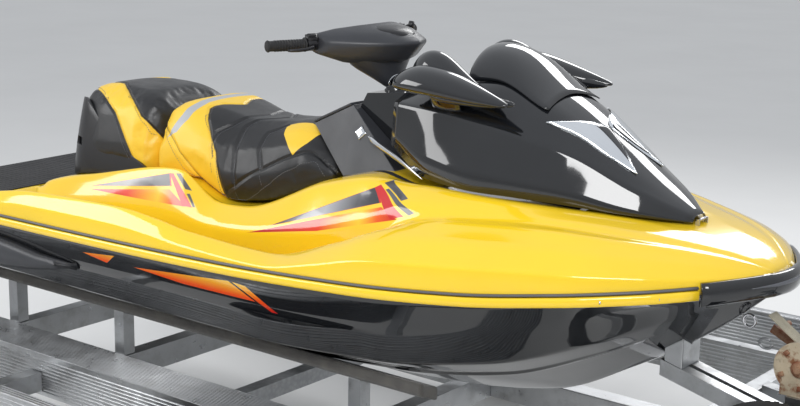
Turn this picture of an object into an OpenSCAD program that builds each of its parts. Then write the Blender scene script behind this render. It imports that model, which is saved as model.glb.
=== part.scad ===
// Three-seat personal watercraft strapped to the starboard lane of a wide aluminium trailer.
// x runs forward to the bow, y to port and z up; the origin is on the ground, midway along and across.
// Stations s are measured forward from the transom, and craft heights h up from the keel line.

/* [Craft] */
// Length of the hull from transom to stem
craft_l = 3310; // [2900:10:4000]
// Beam over the gunwales
craft_w = 1220; // [1050:10:1450]
// Height of the keel line above the ground
keel_z = 600; // [560:5:720]
// Wall of the hull and deck mouldings
skin_t = 6; // [4:0.5:9]
// Clearance between mouldings that meet
seam = 0.4; // [0.2:0.1:1]
// Shadow gap under the hood
hood_gap = 7; // [5:1:12]

/* [Bumpers] */
// How far the gunwale bumper stands out
bumper_t = 16; // [8:1:24]
// Height of the yellow bumper strip
bumper_h = 30; // [20:1:40]
// Height of the grey insert above it
insert_h = 9; // [5:1:15]
// How far the bow bumper stands out
bow_bumper_t = 24; // [18:1:36]

/* [Seats and storage] */
// Half width of the seats at the ledge
seat_half_w = 250; // [220:5:255]
// Depth of the storage bin below the deck
bin_d = 320; // [200:10:380]
// Wall of the storage bin and the glove box
box_t = 4; // [3:0.5:6]

/* [Steering] */
// Rake of the steering column from the vertical
column_rake = 28; // [20:1:35]
// Radius of the handlebar tube
bar_r = 11; // [9:0.5:14]
// Half width over the grips
bar_half_w = 375; // [330:5:420]
// Sweep of each grip towards the stern
bar_sweep = 22; // [10:1:30]
// Radius of a grip
grip_r = 17; // [15:0.5:20]

/* [Jet pump] */
// Outer radius of the pump housing
pump_r = 88; // [80:1:100]
// Wall of the pump housing
pump_t = 7; // [5:0.5:10]
// Height of the pump axis above the keel line
pump_h = 128; // [115:1:150]
// Radius of the steering nozzle at its mouth
nozzle_r = 48; // [40:1:52]
// Number of impeller blades
blades = 4; // [3:1:5]

/* [Trailer] */
// Overall width of the trailer over its step rails
trailer_w = 2600; // [2500:10:2700]
// Distance from the trailer centreline to the craft centreline
lane_y = 360; // [340:5:380]
// Height of the frame above the ground
frame_z = 560; // [540:5:600]
// Depth of the ribbed rails
rail_h = 150; // [130:5:160]
// Width of the ribbed rails
rail_w = 50; // [40:2:60]
// Distance from the centreline to the inner face of a main rail
rail_y = 790; // [760:5:820]
// Depth of the cross members
cross_h = 100; // [80:5:120]
// Station of the rear end of the rails
rear_s = -300; // [-400:10:-280]
// Station of the coupler nose
nose_s = 4740; // [4600:10:5200]
// Station of the axle
axle_s = 1450; // [1350:10:1600]

/* [Wheels] */
// Radius of a tyre
tyre_r = 265; // [250:5:280]
// Width of a tyre
tyre_w = 165; // [140:5:180]
// Radius of a rim
rim_r = 165; // [150:1:170]
// Running clearance of a hub on its spindle, radial
hub_gap = 0.08; // [0.03:0.01:0.1]

/* [Winch and jack] */
// Radius of the winch crank
crank_r = 140; // [110:5:150]
// Station of the winch drum
winch_s = 3385; // [3370:5:3450]
// Height of the winch drum above the keel line
winch_h = 350; // [330:5:370]
// Station of the jack
jack_s = 4420; // [4400:10:4480]
// Outer radius of the jack tube
jack_r = 30; // [26:1:36]

/* [Hidden] */
$fn = 48;

// Depth of a tail light, which is the rearmost piece
tail_t = 26;
// Scale of the craft tables, which are drawn for a hull of 3310 by 1220
kx = craft_l / 3310;
ky = craft_w / 1220;
// Forward shift that brings the middle of the assembly over the origin
mid_s = (rear_s - tail_t - seam + nose_s) / 2;
module craft() { translate([-mid_s, -lane_y, keel_z]) children(); }
module trailer() { translate([-mid_s, 0, 0]) children(); }

// Hull sections: station, keel height, chine y and h, crease y and h, gunwale y and h
HULL = [
    [0, 0, 500, 200, 550, 305, 565, 400],
    [1700, 0, 500, 200, 575, 330, 610, 445],
    [2200, 25, 480, 225, 560, 350, 603, 472],
    [2580, 90, 420, 280, 505, 400, 570, 505],
    [2860, 230, 310, 370, 410, 460, 498, 540],
    [3050, 350, 190, 455, 290, 515, 402, 563],
    [3180, 450, 90, 510, 182, 550, 285, 576],
    [3250, 515, 43, 545, 100, 565, 180, 581],
    [3300, 556, 22, 566, 44, 575, 78, 583]];
// Deck sections: station, crest y and h, floor outer y, inner y and h, knee y and h,
// shoulder y and h, ledge y and h, centre h
DECK = [
    [0, 525, 468, 480, 300, 470, 290, 470, 280, 470, 262, 470, 470],
    [420, 540, 495, 480, 310, 470, 300, 470, 285, 470, 262, 470, 470],
    [470, 545, 505, 478, 345, 372, 335, 430, 292, 500, 262, 502, 502],
    [700, 552, 540, 478, 352, 364, 340, 470, 296, 560, 262, 556, 556],
    [1190, 560, 560, 480, 358, 360, 350, 500, 296, 655, 262, 602, 602],
    [1380, 560, 545, 480, 362, 360, 355, 500, 292, 560, 262, 545, 545],
    [1500, 555, 528, 480, 364, 360, 368, 505, 296, 566, 262, 556, 556],
    [1850, 535, 512, 470, 372, 362, 385, 556, 300, 690, 262, 700, 700],
    [2080, 500, 580, 448, 398, 480, 392, 630, 312, 745, 262, 748, 748],
    [2220, 480, 635, 440, 412, 625, 395, 690, 322, 752, 262, 738, 738],
    [2300, 475, 652, 438, 412, 662, 388, 708, 328, 755, 205, 735, 735],
    [2460, 462, 668, 425, 396, 690, 368, 722, 332, 752, 205, 735, 735],
    [2750, 420, 682, 378, 345, 704, 310, 722, 245, 735, 205, 732, 732],
    [2950, 345, 674, 302, 268, 690, 228, 702, 135, 712, 110, 710, 710],
    [3080, 270, 666, 236, 205, 678, 172, 686, 110, 690, 80, 692, 692],
    [3180, 198, 652, 170, 145, 660, 120, 665, 90, 667, 60, 668, 668],
    [3250, 118, 630, 100, 84, 635, 68, 638, 52, 639, 32, 640, 640],
    [3300, 46, 604, 39, 32, 607, 26, 608, 19, 609, 11, 610, 610]];
STATIONS = [for (row = DECK) row[0]];
// Hood sections: station, edge y and h, crease y and h, bonnet y and h, centre h
HOOD = [
    [2080, 240, 835, 226, 972, 150, 1005, 1015],
    [2260, 300, 762, 250, 968, 172, 1045, 1062],
    [2420, 318, 752, 248, 948, 165, 1070, 1094],
    [2560, 290, 748, 228, 922, 148, 1014, 1040],
    [2700, 246, 740, 196, 886, 120, 938, 958],
    [2850, 182, 726, 138, 812, 78, 838, 848],
    [2950, 118, 714, 92, 765, 48, 776, 780],
    [3030, 42, 702, 32, 722, 18, 726, 728]];
// Seats: station, half width at the base, half width and height of the top
REAR_SEAT = [
    [470, 200, 130, 640], [500, 232, 165, 790], [580, 250, 175, 858], [700, 250, 185, 876],
    [860, 250, 190, 872], [975, 248, 178, 845]];
FRONT_SEAT = [
    [985, 248, 172, 800], [1030, 250, 178, 846], [1110, 250, 182, 862], [1190, 250, 180, 848],
    [1380, 245, 160, 818], [1500, 232, 148, 824], [1600, 215, 142, 838], [1650, 206, 134, 838],
    [1828, 190, 120, 715]];

function column(table, s, c) = lookup(s, [for (row = table) [row[0], row[c]]]);
function gun(s) = [column(HULL, s, 6) * ky, column(HULL, s, 7)];
// Half of a hull section from the gunwale down to the keel
tunnel_half_w = 105;
function hull_half(s) = let (
        k = column(HULL, s, 1), cy = column(HULL, s, 2) * ky, cz = column(HULL, s, 3),
        ty = min(tunnel_half_w, 0.3 * cy))
    [gun(s), [column(HULL, s, 4) * ky, column(HULL, s, 5)], [cy, cz],
     [0.6 * cy, k + 0.6 * (cz - k)], [ty, k + (cz - k) * ty / cy], [0, k]];
// Half of a deck section from the gunwale up to the centreline
function deck_half(s) = let (
        g = gun(s), d = [for (c = [0:12]) column(DECK, s, c)], cy = d[1] * ky, rise = d[2] - g[1])
    [[g[0], g[1] + seam], [g[0] - 4, g[1] + 0.55 * rise], [cy + 0.35 * (g[0] - cy), d[2] - 0.12 * rise],
     [cy, d[2]], [d[3] * ky, d[5]], [d[4] * ky, d[5]], [d[6] * ky, d[7]], [d[8] * ky, d[9]],
     [d[10] * ky, d[11]], [0, d[12]]];
function hood_half(s) = let (d = [for (c = [0:7]) column(HOOD, s, c)])
    [[d[1] * ky, d[2] + hood_gap], [d[3] * ky, d[4]], [d[5] * ky, d[6]], [0, d[7]]];
function whole(half) = concat(half, [for (k = [len(half) - 2:-1:0]) [-half[k][0], half[k][1]]]);
// Section moved along its normal to the left of its path, with level ends
function unit2(v) = v / max(norm(v), 0.001);
function left2(a, b) = let (d = unit2(b - a)) [-d[1], d[0]];
function offset_path(p, t, level = true) = let (n = len(p)) [for (k = [0:n - 1])
    let (a = k > 0 ? left2(p[k - 1], p[k]) : left2(p[0], p[1]),
         b = k < n - 1 ? left2(p[k], p[k + 1]) : a, m = unit2(a + b))
    level && (k == 0 || k == n - 1) ? p[k] + [sign(a[0]) * t, 0]
    : p[k] + m * t / max(0.6, m * a)];
function grid(stations, sections) = [for (i = [0:len(stations) - 1])
    [for (q = sections[i]) [stations[i] * kx, q[0], q[1]]]];

// Closed sheet between two point grids; cells that keep() refuses are open
module sheet(top, under, keep = function(i, j) true) {
    ni = len(top);
    nj = len(top[0]);
    n = ni * nj;
    function at(i, j) = i * nj + j;
    function kept(i, j) = i >= 0 && j >= 0 && i < ni - 1 && j < nj - 1 && keep(i, j);
    function wall(a, b) = [[b, a, a + n], [b, a + n, b + n]];
    faces = [for (i = [0:ni - 2], j = [0:nj - 2]) if (kept(i, j))
        let (a = at(i, j), b = at(i + 1, j), c = at(i + 1, j + 1), d = at(i, j + 1),
             t = j < (nj - 1) / 2 ? [[a, b, c], [a, c, d]] : [[a, b, d], [b, c, d]])
        each concat(t, [for (f = t) [f[0] + n, f[2] + n, f[1] + n]],
            kept(i, j - 1) ? [] : wall(a, b), kept(i + 1, j) ? [] : wall(b, c),
            kept(i, j + 1) ? [] : wall(c, d), kept(i - 1, j) ? [] : wall(d, a))];
    polyhedron([for (row = top) each row, for (row = under) each row], faces, convexity = 8);
}
// Solid through a list of rings of equal count, closed at both ends
function sum(v, k = 0) = k == len(v) - 1 ? v[k] : v[k] + sum(v, k + 1);
function facing(r) = sum([for (k = [0:len(r) - 1]) cross(r[k] - r[0], r[(k + 1) % len(r)] - r[0])]);
module loft(path) {
    m = len(path[0]);
    last = len(path) - 1;
    ahead = facing(path[0]) * (sum(path[1]) - sum(path[0])) > 0;
    rings = ahead ? path : [for (k = [last:-1:0]) path[k]];
    polyhedron([for (r = rings) each r], concat(
        [[for (k = [0:m - 1]) k]], [[for (k = [m - 1:-1:0]) last * m + k]],
        [for (i = [0:last - 1], k = [0:m - 1]) let (a = i * m + k, b = i * m + (k + 1) % m)
            each [[a, a + m, b + m], [a, b + m, b]]]), convexity = 6);
}
// Bar of rectangular section lying along x from s0 to s1
module bar_x(s0, s1, y, w, z, h) { translate([s0, y - w / 2, z]) cube([s1 - s0, w, h]); }
module both() { children(); mirror([0, 1, 0]) children(); }

// ---- Hull and deck ----
intake_s0 = 330;
intake_s1 = 700;
HULL_STATIONS = [0, 150, intake_s0, intake_s1, 880, 960, 1190, 1500, 1850, 2200, 2460, 2750, 2950, 3080, 3180, 3250, 3300];
module hull() {
    outer = [for (s = HULL_STATIONS) whole(hull_half(s))];
    inner = [for (q = outer) offset_path(q, -skin_t)];
    color("black") craft()
        sheet(grid(HULL_STATIONS, inner), grid(HULL_STATIONS, outer),
            function(i, j) !(HULL_STATIONS[i] == intake_s0 && j >= 4 && j <= 5));
}
hatch_s0 = 2300;
hatch_s1 = 2750;
module deck() {
    outer = [for (s = STATIONS) whole(deck_half(s))];
    inner = [for (q = outer) offset_path(q, skin_t)];
    color("gold") craft()
        sheet(grid(STATIONS, outer), grid(STATIONS, inner),
            function(i, j) !(STATIONS[i] >= hatch_s0 && STATIONS[i + 1] <= hatch_s1 && j >= 8 && j <= 9));
}
transom_t = 8;
module transom() {
    low = offset_path(whole(hull_half(0)), -skin_t - seam);
    top = offset_path(whole(deck_half(0)), skin_t + seam);
    color("black") craft()
        difference() {
            rotate([90, 0, 90]) linear_extrude(transom_t)
                polygon(concat(low, [for (k = [len(top) - 1:-1:0]) top[k]]));
            translate([-1, 0, pump_h]) rotate([0, 90, 0]) cylinder(r = pump_r + seam, h = transom_t + 2);
        }
}

// ---- Bumpers along the gunwale, swept on its plan curve ----
nose_cut_s = 3180;
function rim_point(s) = [s * kx, gun(s)[0], gun(s)[1]];
function plan_normal(p, k) = let (n = len(p), a = p[max(k - 1, 0)], b = p[min(k + 1, n - 1)])
    unit2([-(b - a)[1], (b - a)[0]]);
// Ring between two outward offsets and two heights about point k of a path
function rim_ring(p, k, t0, t1, z0, z1) = let (n = plan_normal(p, k), q = [p[k][0], p[k][1]])
    [for (c = [[t0, z0], [t1, z0 + (t1 - t0) * 0.3], [t1, z1 - (t1 - t0) * 0.3], [t0, z1]])
        [q[0] + n[0] * c[0], q[1] + n[1] * c[0], p[k][2] + c[1]]];
SIDE_PATH = [for (s = [each [for (r = HULL) if (r[0] < nose_cut_s) r[0]], nose_cut_s]) rim_point(s)];
NOSE_TIP = [3312 * kx, 0, column(HULL, 3300, 7)];
NOSE_HALF = [for (s = [nose_cut_s + 4, 3215, 3250, 3280, 3300]) rim_point(s)];
NOSE_PATH = concat(NOSE_HALF, [NOSE_TIP], [for (k = [len(NOSE_HALF) - 1:-1:0])
    [NOSE_HALF[k][0], -NOSE_HALF[k][1], NOSE_HALF[k][2]]]);
strip_low = -14;
module gunwale_bumpers() {
    color("gold") craft() both()
        loft([for (k = [len(SIDE_PATH) - 1:-1:0])
            rim_ring(SIDE_PATH, k, seam, bumper_t, strip_low, strip_low + bumper_h)]);
}
module bumper_inserts() {
    color("dimgray") craft() both()
        loft([for (k = [len(SIDE_PATH) - 1:-1:0]) rim_ring(SIDE_PATH, k, seam, bumper_t * 0.55,
            strip_low + bumper_h + seam, strip_low + bumper_h + insert_h)]);
}
module bow_bumper() {
    n = len(NOSE_PATH);
    color("black") craft()
        loft([for (k = [n - 1:-1:0]) rim_ring(NOSE_PATH, k, seam, bow_bumper_t, -34, 34)]);
}
// Hull side at a height between chine and gunwale
function side_y(s, h) = let (q = hull_half(s)) h < q[1][1]
    ? q[2][0] + (q[1][0] - q[2][0]) * (h - q[2][1]) / (q[1][1] - q[2][1])
    : q[1][0] + (q[0][0] - q[1][0]) * (h - q[1][1]) / (q[0][1] - q[1][1]);
module sponsons() {
    // Station, lower and upper height on the hull side, and how far the pod stands out of it
    pod = [[150, 232, 330, 8], [330, 222, 350, 42], [700, 226, 352, 46], [880, 262, 345, 26], [960, 300, 335, 6]];
    color("dimgray") craft() both()
        loft([for (r = pod) let (s = r[0], lo = r[1], hi = r[2], mid = hull_half(s)[1][1],
                a = side_y(s, lo) + 2 * seam, c = side_y(s, hi) + 2 * seam, m = side_y(s, mid) + 2 * seam)
            [[s * kx, a, lo], [s * kx, m, mid], [s * kx, c, hi], [s * kx, m + r[3], hi - 12],
             [s * kx, m + r[3], lo + 20]]]);
}

// ---- Mats, seats and the shell behind them ----
mat_t = 4;
mat_margin = 10;
module footwell_mats() {
    color("dimgray") craft() both()
        loft([for (s = [490, 700, 1190, 1500, 1850]) let (a = deck_half(s)[4], b = deck_half(s)[5])
            [[s * kx, b[0] + mat_margin, b[1] + seam], [s * kx, a[0] - mat_margin, a[1] + seam],
             [s * kx, a[0] - mat_margin, a[1] + mat_t], [s * kx, b[0] + mat_margin, b[1] + mat_t]]]);
}
platform_h = column(DECK, 0, 12);
module platform_mat() {
    w = column(DECK, 0, 3) * ky - mat_margin;
    color("dimgray") craft() translate([15, -w, platform_h + seam]) cube([395 * kx - 15, 2 * w, mat_t]);
}
// Cushion through rows of a seat table, standing over the ledge
module cushion(table) {
    spread = seat_half_w / 250;
    loft([for (r = table) let (s = r[0], base = column(DECK, s, 12) + seam, b = r[1] * spread, t = r[2] * spread, h = r[3])
        [[s * kx, -b, base], [s * kx, -b, base + 0.35 * (h - base)], [s * kx, -t, h - 18], [s * kx, -t * 0.5, h],
         [s * kx, t * 0.5, h], [s * kx, t, h - 18], [s * kx, b, base + 0.35 * (h - base)], [s * kx, b, base]]]);
}
module rear_seat() { color("gold") craft() cushion(REAR_SEAT); }
module front_seat() { color("gold") craft() cushion(FRONT_SEAT); }

shell_t = 14;
shell_w = 278;
module grab_handle() {
    rear = 404 * kx;
    color("black") craft()
        difference() {
            union() {
                translate([rear, -shell_w * 0.78, platform_h + seam]) cube([shell_t, shell_w * 1.56, 120]);
                translate([0, 0, 575]) linear_extrude(105) difference() {
                    polygon([[600 * kx, -shell_w], [466 * kx, -shell_w], [rear, -shell_w * 0.78],
                        [rear, shell_w * 0.78], [466 * kx, shell_w], [600 * kx, shell_w]]);
                    polygon([[601 * kx, -shell_w + shell_t], [470 * kx, -shell_w + shell_t],
                        [rear + shell_t, -shell_w * 0.76], [rear + shell_t, shell_w * 0.76],
                        [470 * kx, shell_w - shell_t], [601 * kx, shell_w - shell_t]]);
                }
            }
            translate([rear - 1, -80, 610]) cube([shell_t + 2, 160, 38]);
        }
}
engine_half_w = 160;
engine_s0 = 900;
engine_s1 = 1450;
deadrise = 200 / (500 * ky);
skin_drop = skin_t * sqrt(1 + deadrise * deadrise) + seam;
module engine_block() {
    w = engine_half_w;
    color("gray") craft() translate([engine_s0 * kx, 0, 0]) rotate([90, 0, 90])
        linear_extrude((engine_s1 - engine_s0) * kx)
            polygon([[0, skin_drop], [w, skin_drop + w * deadrise], [w, 380], [-w, 380], [-w, skin_drop + w * deadrise]]);
}

// ---- Glove box, console and steering ----
// Side outline of the glove box: rear foot, rear top, front top, front foot, as station and height
BOX = [[1852, column(DECK, 1852, 12) + seam], [1664, 845], [1834, 926], [2068, column(DECK, 2068, 12) + seam]];
box_low_w = 200;
box_top_w = 128;
// Ring of the box between two of its corners, at a half width, set in by a wall
function box_ring(from, to, w, inset) = [for (c = [[from, -1], [from, 1], [to, 1], [to, -1]])
    let (p = BOX[c[0]] + unit2([1855, 810] - BOX[c[0]]) * inset * 1.6) [p[0] * kx, c[1] * (w - inset), p[1]]];
module box_solid(inset) { loft([box_ring(0, 3, box_low_w, inset), box_ring(1, 2, box_top_w, inset)]); }
lid_tilt = atan2(BOX[2][1] - BOX[1][1], (BOX[2][0] - BOX[1][0]) * kx);
lid_l = norm([(BOX[2][0] - BOX[1][0]) * kx, BOX[2][1] - BOX[1][1]]);
lid_t = 9;
module in_lid_plane() { translate([BOX[1][0] * kx, 0, BOX[1][1]]) rotate([0, -lid_tilt, 0]) children(); }
module glove_box() {
    color("dimgray") craft() difference() {
        box_solid(0);
        box_solid(box_t);
        in_lid_plane() translate([14, -box_top_w + 8, -40]) cube([lid_l - 26, 2 * box_top_w - 16, 60]);
    }
}
lid_gap = 0.8;
module glove_box_lid() {
    color("dimgray") craft() in_lid_plane()
        translate([2, -box_top_w - 2, lid_gap]) cube([lid_l - 10, 2 * box_top_w + 4, lid_t]);
}
console_w = 105;
// Height just above the front slope of the glove box
function slope_h(s) = lookup(s, [BOX[2], BOX[3]]) + 2 * seam;
CONSOLE = [[1845, slope_h(1845)], [1872, 966], [2035, 984], [2066, 966], [2066, slope_h(2066)]];
module console() {
    color("black") craft() union() {
        translate([0, console_w, 0]) rotate([90, 0, 0]) linear_extrude(2 * console_w)
            polygon([for (p = CONSOLE) [p[0] * kx, p[1]]]);
        translate(STEER) rotate([0, -column_rake, 0]) translate([0, 0, -30]) cylinder(r = column_r + 10, h = 37.4);
    }
}
// Foot of the steering axis on top of the console
STEER = [1905 * kx, 0, 974];
column_r = 26;
column_len = 52;
module steering_column() {
    color("dimgray") craft() translate(STEER) rotate([0, -column_rake, 0])
        translate([0, 0, 10]) cylinder(r = column_r, h = column_len + 6);
    color("dimgray") craft() translate(STEER) rotate([0, -column_rake, 0])
        translate([0, 0, 7.8]) cylinder(r = column_r + 3, h = 4);
}
// Padded cover: offset to port, rear and front station, lowest and highest height
COVER = [[-208, 1702, 1780, 1092, 1150], [-115, 1745, 1950, 1050, 1168], [0, 1762, 2018, 1046, 1186],
    [115, 1745, 1950, 1050, 1168], [208, 1702, 1780, 1092, 1150]];
module steering_cover() {
    color("dimgray") craft()
        loft([for (k = [4:-1:0]) let (r = COVER[k], w = r[2] - r[1], h = r[4] - r[3])
            [for (q = [[0, 0.45], [0.08, 0.85], [0.3, 1], [0.75, 0.85], [1, 0.62], [0.8, 0.2], [0.55, 0], [0.2, 0.1]])
                [(r[1] + q[0] * w) * kx, r[0], r[3] + q[1] * h]]]);
}
cover_end = 208;
bar_in = [1745 * kx, cover_end + bar_r * sin(bar_sweep) + seam, 1123];
bar_len = (bar_half_w - bar_in[1]) / cos(bar_sweep);
module along_bar() { translate(bar_in) rotate([-90, 0, bar_sweep]) children(); }
module handlebar() {
    color("silver") craft() both() along_bar() cylinder(r = bar_r, h = bar_len - 3);
}
control_l = 34;
bar_fit = 0.05;
module handlebar_grips() {
    color("dimgray") craft() both() along_bar() difference() {
        translate([0, 0, control_l + 4]) cylinder(r = grip_r, h = bar_len - control_l - 4);
        translate([0, 0, control_l]) cylinder(r = bar_r + bar_fit, h = bar_len - control_l - 3 + bar_fit);
    }
}
module handlebar_controls() {
    color("black") craft() {
        both() along_bar() difference() {
            union() {
                translate([0, 0, 5]) cylinder(r = grip_r + 4, h = control_l - 3);
                translate([-14, -grip_r - 14, 8]) cube([28, 22, control_l - 8]);
            }
            cylinder(r = bar_r + bar_fit, h = control_l + 10);
        }
        // Throttle lever in front of the starboard grip
        mirror([0, 1, 0]) along_bar() translate([-grip_r - 24, -6, 16]) cube([9, 12, 92]);
        mirror([0, 1, 0]) along_bar() translate([-grip_r - 24, -6, 12]) cube([26, 12, 12]);
    }
}

// ---- Hood with windshield, mirrors and headlight ----
HOOD_STATIONS = [for (row = HOOD) row[0]];
HOOD_PIVOT = [3035 * kx, 0, 712];
knuckle_w = 22;
hinge_r = 4;
module hood() {
    outer = [for (s = HOOD_STATIONS) whole(hood_half(s))];
    inner = [for (q = outer) offset_path(q, skin_t)];
    color("black") craft() difference() {
        union() {
            sheet(grid(HOOD_STATIONS, outer), grid(HOOD_STATIONS, inner));
            translate(HOOD_PIVOT + [-27, -knuckle_w, -6]) cube([24, 2 * knuckle_w, 24]);
            translate(HOOD_PIVOT) rotate([90, 0, 0]) cylinder(r = 7, h = 2 * knuckle_w, center = true);
        }
        translate(HOOD_PIVOT) rotate([90, 0, 0]) cylinder(r = hinge_r + pin_fit, h = 3 * knuckle_w, center = true);
    }
}
module hood_hinge() {
    ear_z = column(DECK, HOOD_PIVOT[0] / kx - hinge_r, 12) + seam;
    color("silver") craft() {
        translate(HOOD_PIVOT) rotate([90, 0, 0]) cylinder(r = hinge_r, h = 2 * knuckle_w + 12, center = true);
        both() translate([HOOD_PIVOT[0] - hinge_r, knuckle_w + 1, ear_z]) cube([3 * hinge_r, 5, HOOD_PIVOT[2] + 5 - ear_z]);
    }
}
// Height of the bonnet between its edges
function bonnet_h(s, y) = let (q = hood_half(s)) q[3][1] + (q[2][1] - q[3][1]) * abs(y) / q[2][0];
glass_t = 5;
module windshield() {
    foot_s = 2420;
    color("black") craft()
        loft([for (y = [160, 80, 0, -80, -160]) let (z = bonnet_h(foot_s, y) + seam, lean = 100 - abs(y) * 0.12)
            [[foot_s * kx, y, z], [foot_s * kx - lean, y, 1172 - abs(y) * 0.05],
             [foot_s * kx - lean - glass_t, y, 1172 - abs(y) * 0.05], [foot_s * kx - glass_t - 1, y, z + 3]]]);
}
// Mirror pods: station, centre to port, half width, lowest and highest height
MIRROR = [[2225, 385, 58, 1048, 1098], [2300, 392, 78, 1042, 1138], [2400, 396, 80, 1042, 1130],
    [2520, 402, 58, 1046, 1096], [2645, 415, 12, 1052, 1062]];
function flank(s, v) = let (q = hood_half(s), p = q[1] + v * (q[2] - q[1])) [s * kx, p[0] + 1.3, p[1] + 0.8];
module mirrors() {
    color("black") craft() both() {
        loft([for (r = MIRROR) let (y = r[1], w = r[2], lo = r[3], hi = r[4], x = r[0] * kx)
            [[x, y - w * 0.8, lo], [x, y - w, lo + 0.4 * (hi - lo)], [x, y - w * 0.6, hi - 0.1 * (hi - lo)], [x, y, hi],
             [x, y + w * 0.6, hi - 0.2 * (hi - lo)], [x, y + w, lo + 0.35 * (hi - lo)], [x, y + w * 0.8, lo]]]);
        loft([[flank(2378, 0.1), flank(2378, 0.34), flank(2420, 0.34), flank(2420, 0.1)],
              [[2330 * kx, 345, 1046], [2330 * kx, 345, 1070], [2400 * kx, 345, 1070], [2400 * kx, 345, 1046]]]);
    }
}
module headlight() {
    // Station and half width of the lens
    lens = [[2570, 138], [2640, 122], [2700, 92], [2815, 14]];
    lift = 1.2;
    color("silver") craft()
        loft([for (r = lens) let (x = r[0] * kx, w = r[1], z0 = bonnet_h(r[0], 0) + lift, z1 = bonnet_h(r[0], w) + lift)
            [[x, -w, z1], [x, -w, z1 + 8], [x, 0, z0 + 10], [x, w, z1 + 8], [x, w, z1], [x, 0, z0]]]);
}
module storage_bin() {
    x0 = hatch_s0 * kx + seam;
    l = (hatch_s1 - hatch_s0) * kx - 2 * seam;
    w = column(DECK, hatch_s0, 10) * ky - seam;
    top = column(DECK, hatch_s1, 12);
    color("dimgray") craft() translate([x0, -w, top - bin_d]) difference() {
        cube([l, 2 * w, bin_d]);
        translate([box_t, box_t, box_t]) cube([l - 2 * box_t, 2 * w - 2 * box_t, bin_d]);
    }
}

// ---- Eyes, pump and stern gear ----
eye_r = 18;
eye_t = 5;
stem_s = 3190;
stem_slope = atan2(column(HULL, 3250, 1) - column(HULL, 3180, 1), 70 * kx);
EYE = [stem_s * kx, 0, column(HULL, stem_s, 1)] + (eye_r + eye_t + seam) * [sin(stem_slope), 0, -cos(stem_slope)];
module ring() { rotate([90, 0, 0]) rotate_extrude() translate([eye_r, 0]) circle(r = eye_t, $fn = 16); }
module bow_eye() { color("silver") craft() translate(EYE) ring(); }
module stern_eyes() {
    color("silver") craft() both() translate([-eye_r - eye_t - seam, 420 * ky, 330]) ring();
}
pump_l = 330;
pivot_s = -60;
gate_s = -72;
gate_r = 118;
gate_w = 97;
pin_r = 6;
pin_fit = 0.06;
nozzle_front_r = 68;
lug_h = 76;
module pump_housing() {
    arm_y = gate_w + 1;
    color("silver") craft() translate([0, 0, pump_h]) {
        difference() {
            union() {
                translate([-25, 0, 0]) rotate([0, 90, 0]) cylinder(r = pump_r, h = pump_l * kx + 25 - seam);
                for (side = [-1, 1]) translate([-28, side > 0 ? pump_r - 12 : -arm_y - 7, -16]) cube([24, arm_y - pump_r + 19, 32]);
            }
            translate([-30, 0, 0]) rotate([0, 90, 0]) cylinder(r = pump_r - pump_t, h = pump_l * kx + 60);
        }
        for (side = [-1, 1]) {
            translate([gate_s - 14, side > 0 ? arm_y : -arm_y - 7, -16]) cube([-28 - gate_s + 14.5, 7, 32]);
            translate([gate_s, side * (arm_y + 1), 0]) rotate([side * 90, 0, 0]) cylinder(r = pin_r, h = 12);
            translate([pivot_s - 14, -14, side > 0 ? lug_h : -lug_h - 8]) cube([-25 - pivot_s + 14.5, 28, 8]);
            translate([pivot_s, 0, side > 0 ? lug_h - 14 : -lug_h - 1]) cylinder(r = pin_r, h = 15);
        }
    }
}
blade_len = 70;
impeller_s = 110;
module impeller() {
    reach = pump_r - pump_t - 1;
    color("silver") craft() translate([impeller_s, 0, pump_h]) rotate([0, 90, 0]) {
        cylinder(r = 27, h = blade_len + 20);
        cylinder(r = 13, h = engine_s0 * kx - impeller_s - seam);
        intersection() {
            cylinder(r = reach, h = blade_len);
            for (k = [0:blades - 1]) rotate([0, 0, 360 / blades * k]) translate([reach / 2, 0, blade_len / 2])
                rotate([48, 0, 0]) cube([reach + 4, 5, 110], center = true);
        }
    }
}
module jet_nozzle() {
    mouth_s = -150;
    front_s = -34;
    l = front_s - mouth_s;
    color("silver") craft() translate([mouth_s, 0, pump_h]) difference() {
        rotate([0, 90, 0]) cylinder(r1 = nozzle_r, r2 = nozzle_front_r, h = l);
        translate([-1, 0, 0]) rotate([0, 90, 0]) cylinder(r1 = nozzle_r - 6, r2 = nozzle_front_r - 6, h = l + 2);
        translate([pivot_s - mouth_s, 0, -100]) cylinder(r = pin_r + pin_fit, h = 200);
    }
}
module reverse_gate() {
    // The bucket is an arc about its pivot pins, raised over the nozzle
    from = 62;
    sweep = 70;
    color("dimgray") craft() translate([gate_s, 0, pump_h]) difference() {
        rotate([90, 0, 0]) union() {
            rotate([0, 0, from]) rotate_extrude(angle = sweep) translate([gate_r - 6, -gate_w]) square([6, 2 * gate_w]);
            for (side = [0, 1]) rotate([0, 0, from]) rotate_extrude(angle = sweep)
                translate([0, side ? gate_w - 5 : -gate_w]) square([gate_r, 5]);
            for (side = [0, 1]) translate([0, 0, side ? gate_w - 5 : -gate_w]) cylinder(r = 16, h = 5);
        }
        rotate([90, 0, 0]) cylinder(r = pin_r + pin_fit, h = 4 * gate_w, center = true);
    }
}
module v_plate(w, t, s0, s1) {
    translate([s0 * kx, 0, 0]) rotate([90, 0, 90]) linear_extrude((s1 - s0) * kx)
        polygon([[-w, w * deadrise], [0, 0], [w, w * deadrise], [w, w * deadrise - t], [0, -t], [-w, w * deadrise - t]]);
}
module ride_plate() { color("silver") craft() translate([0, 0, -seam]) v_plate(95, 6, 5, intake_s0 - 8); }
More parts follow.
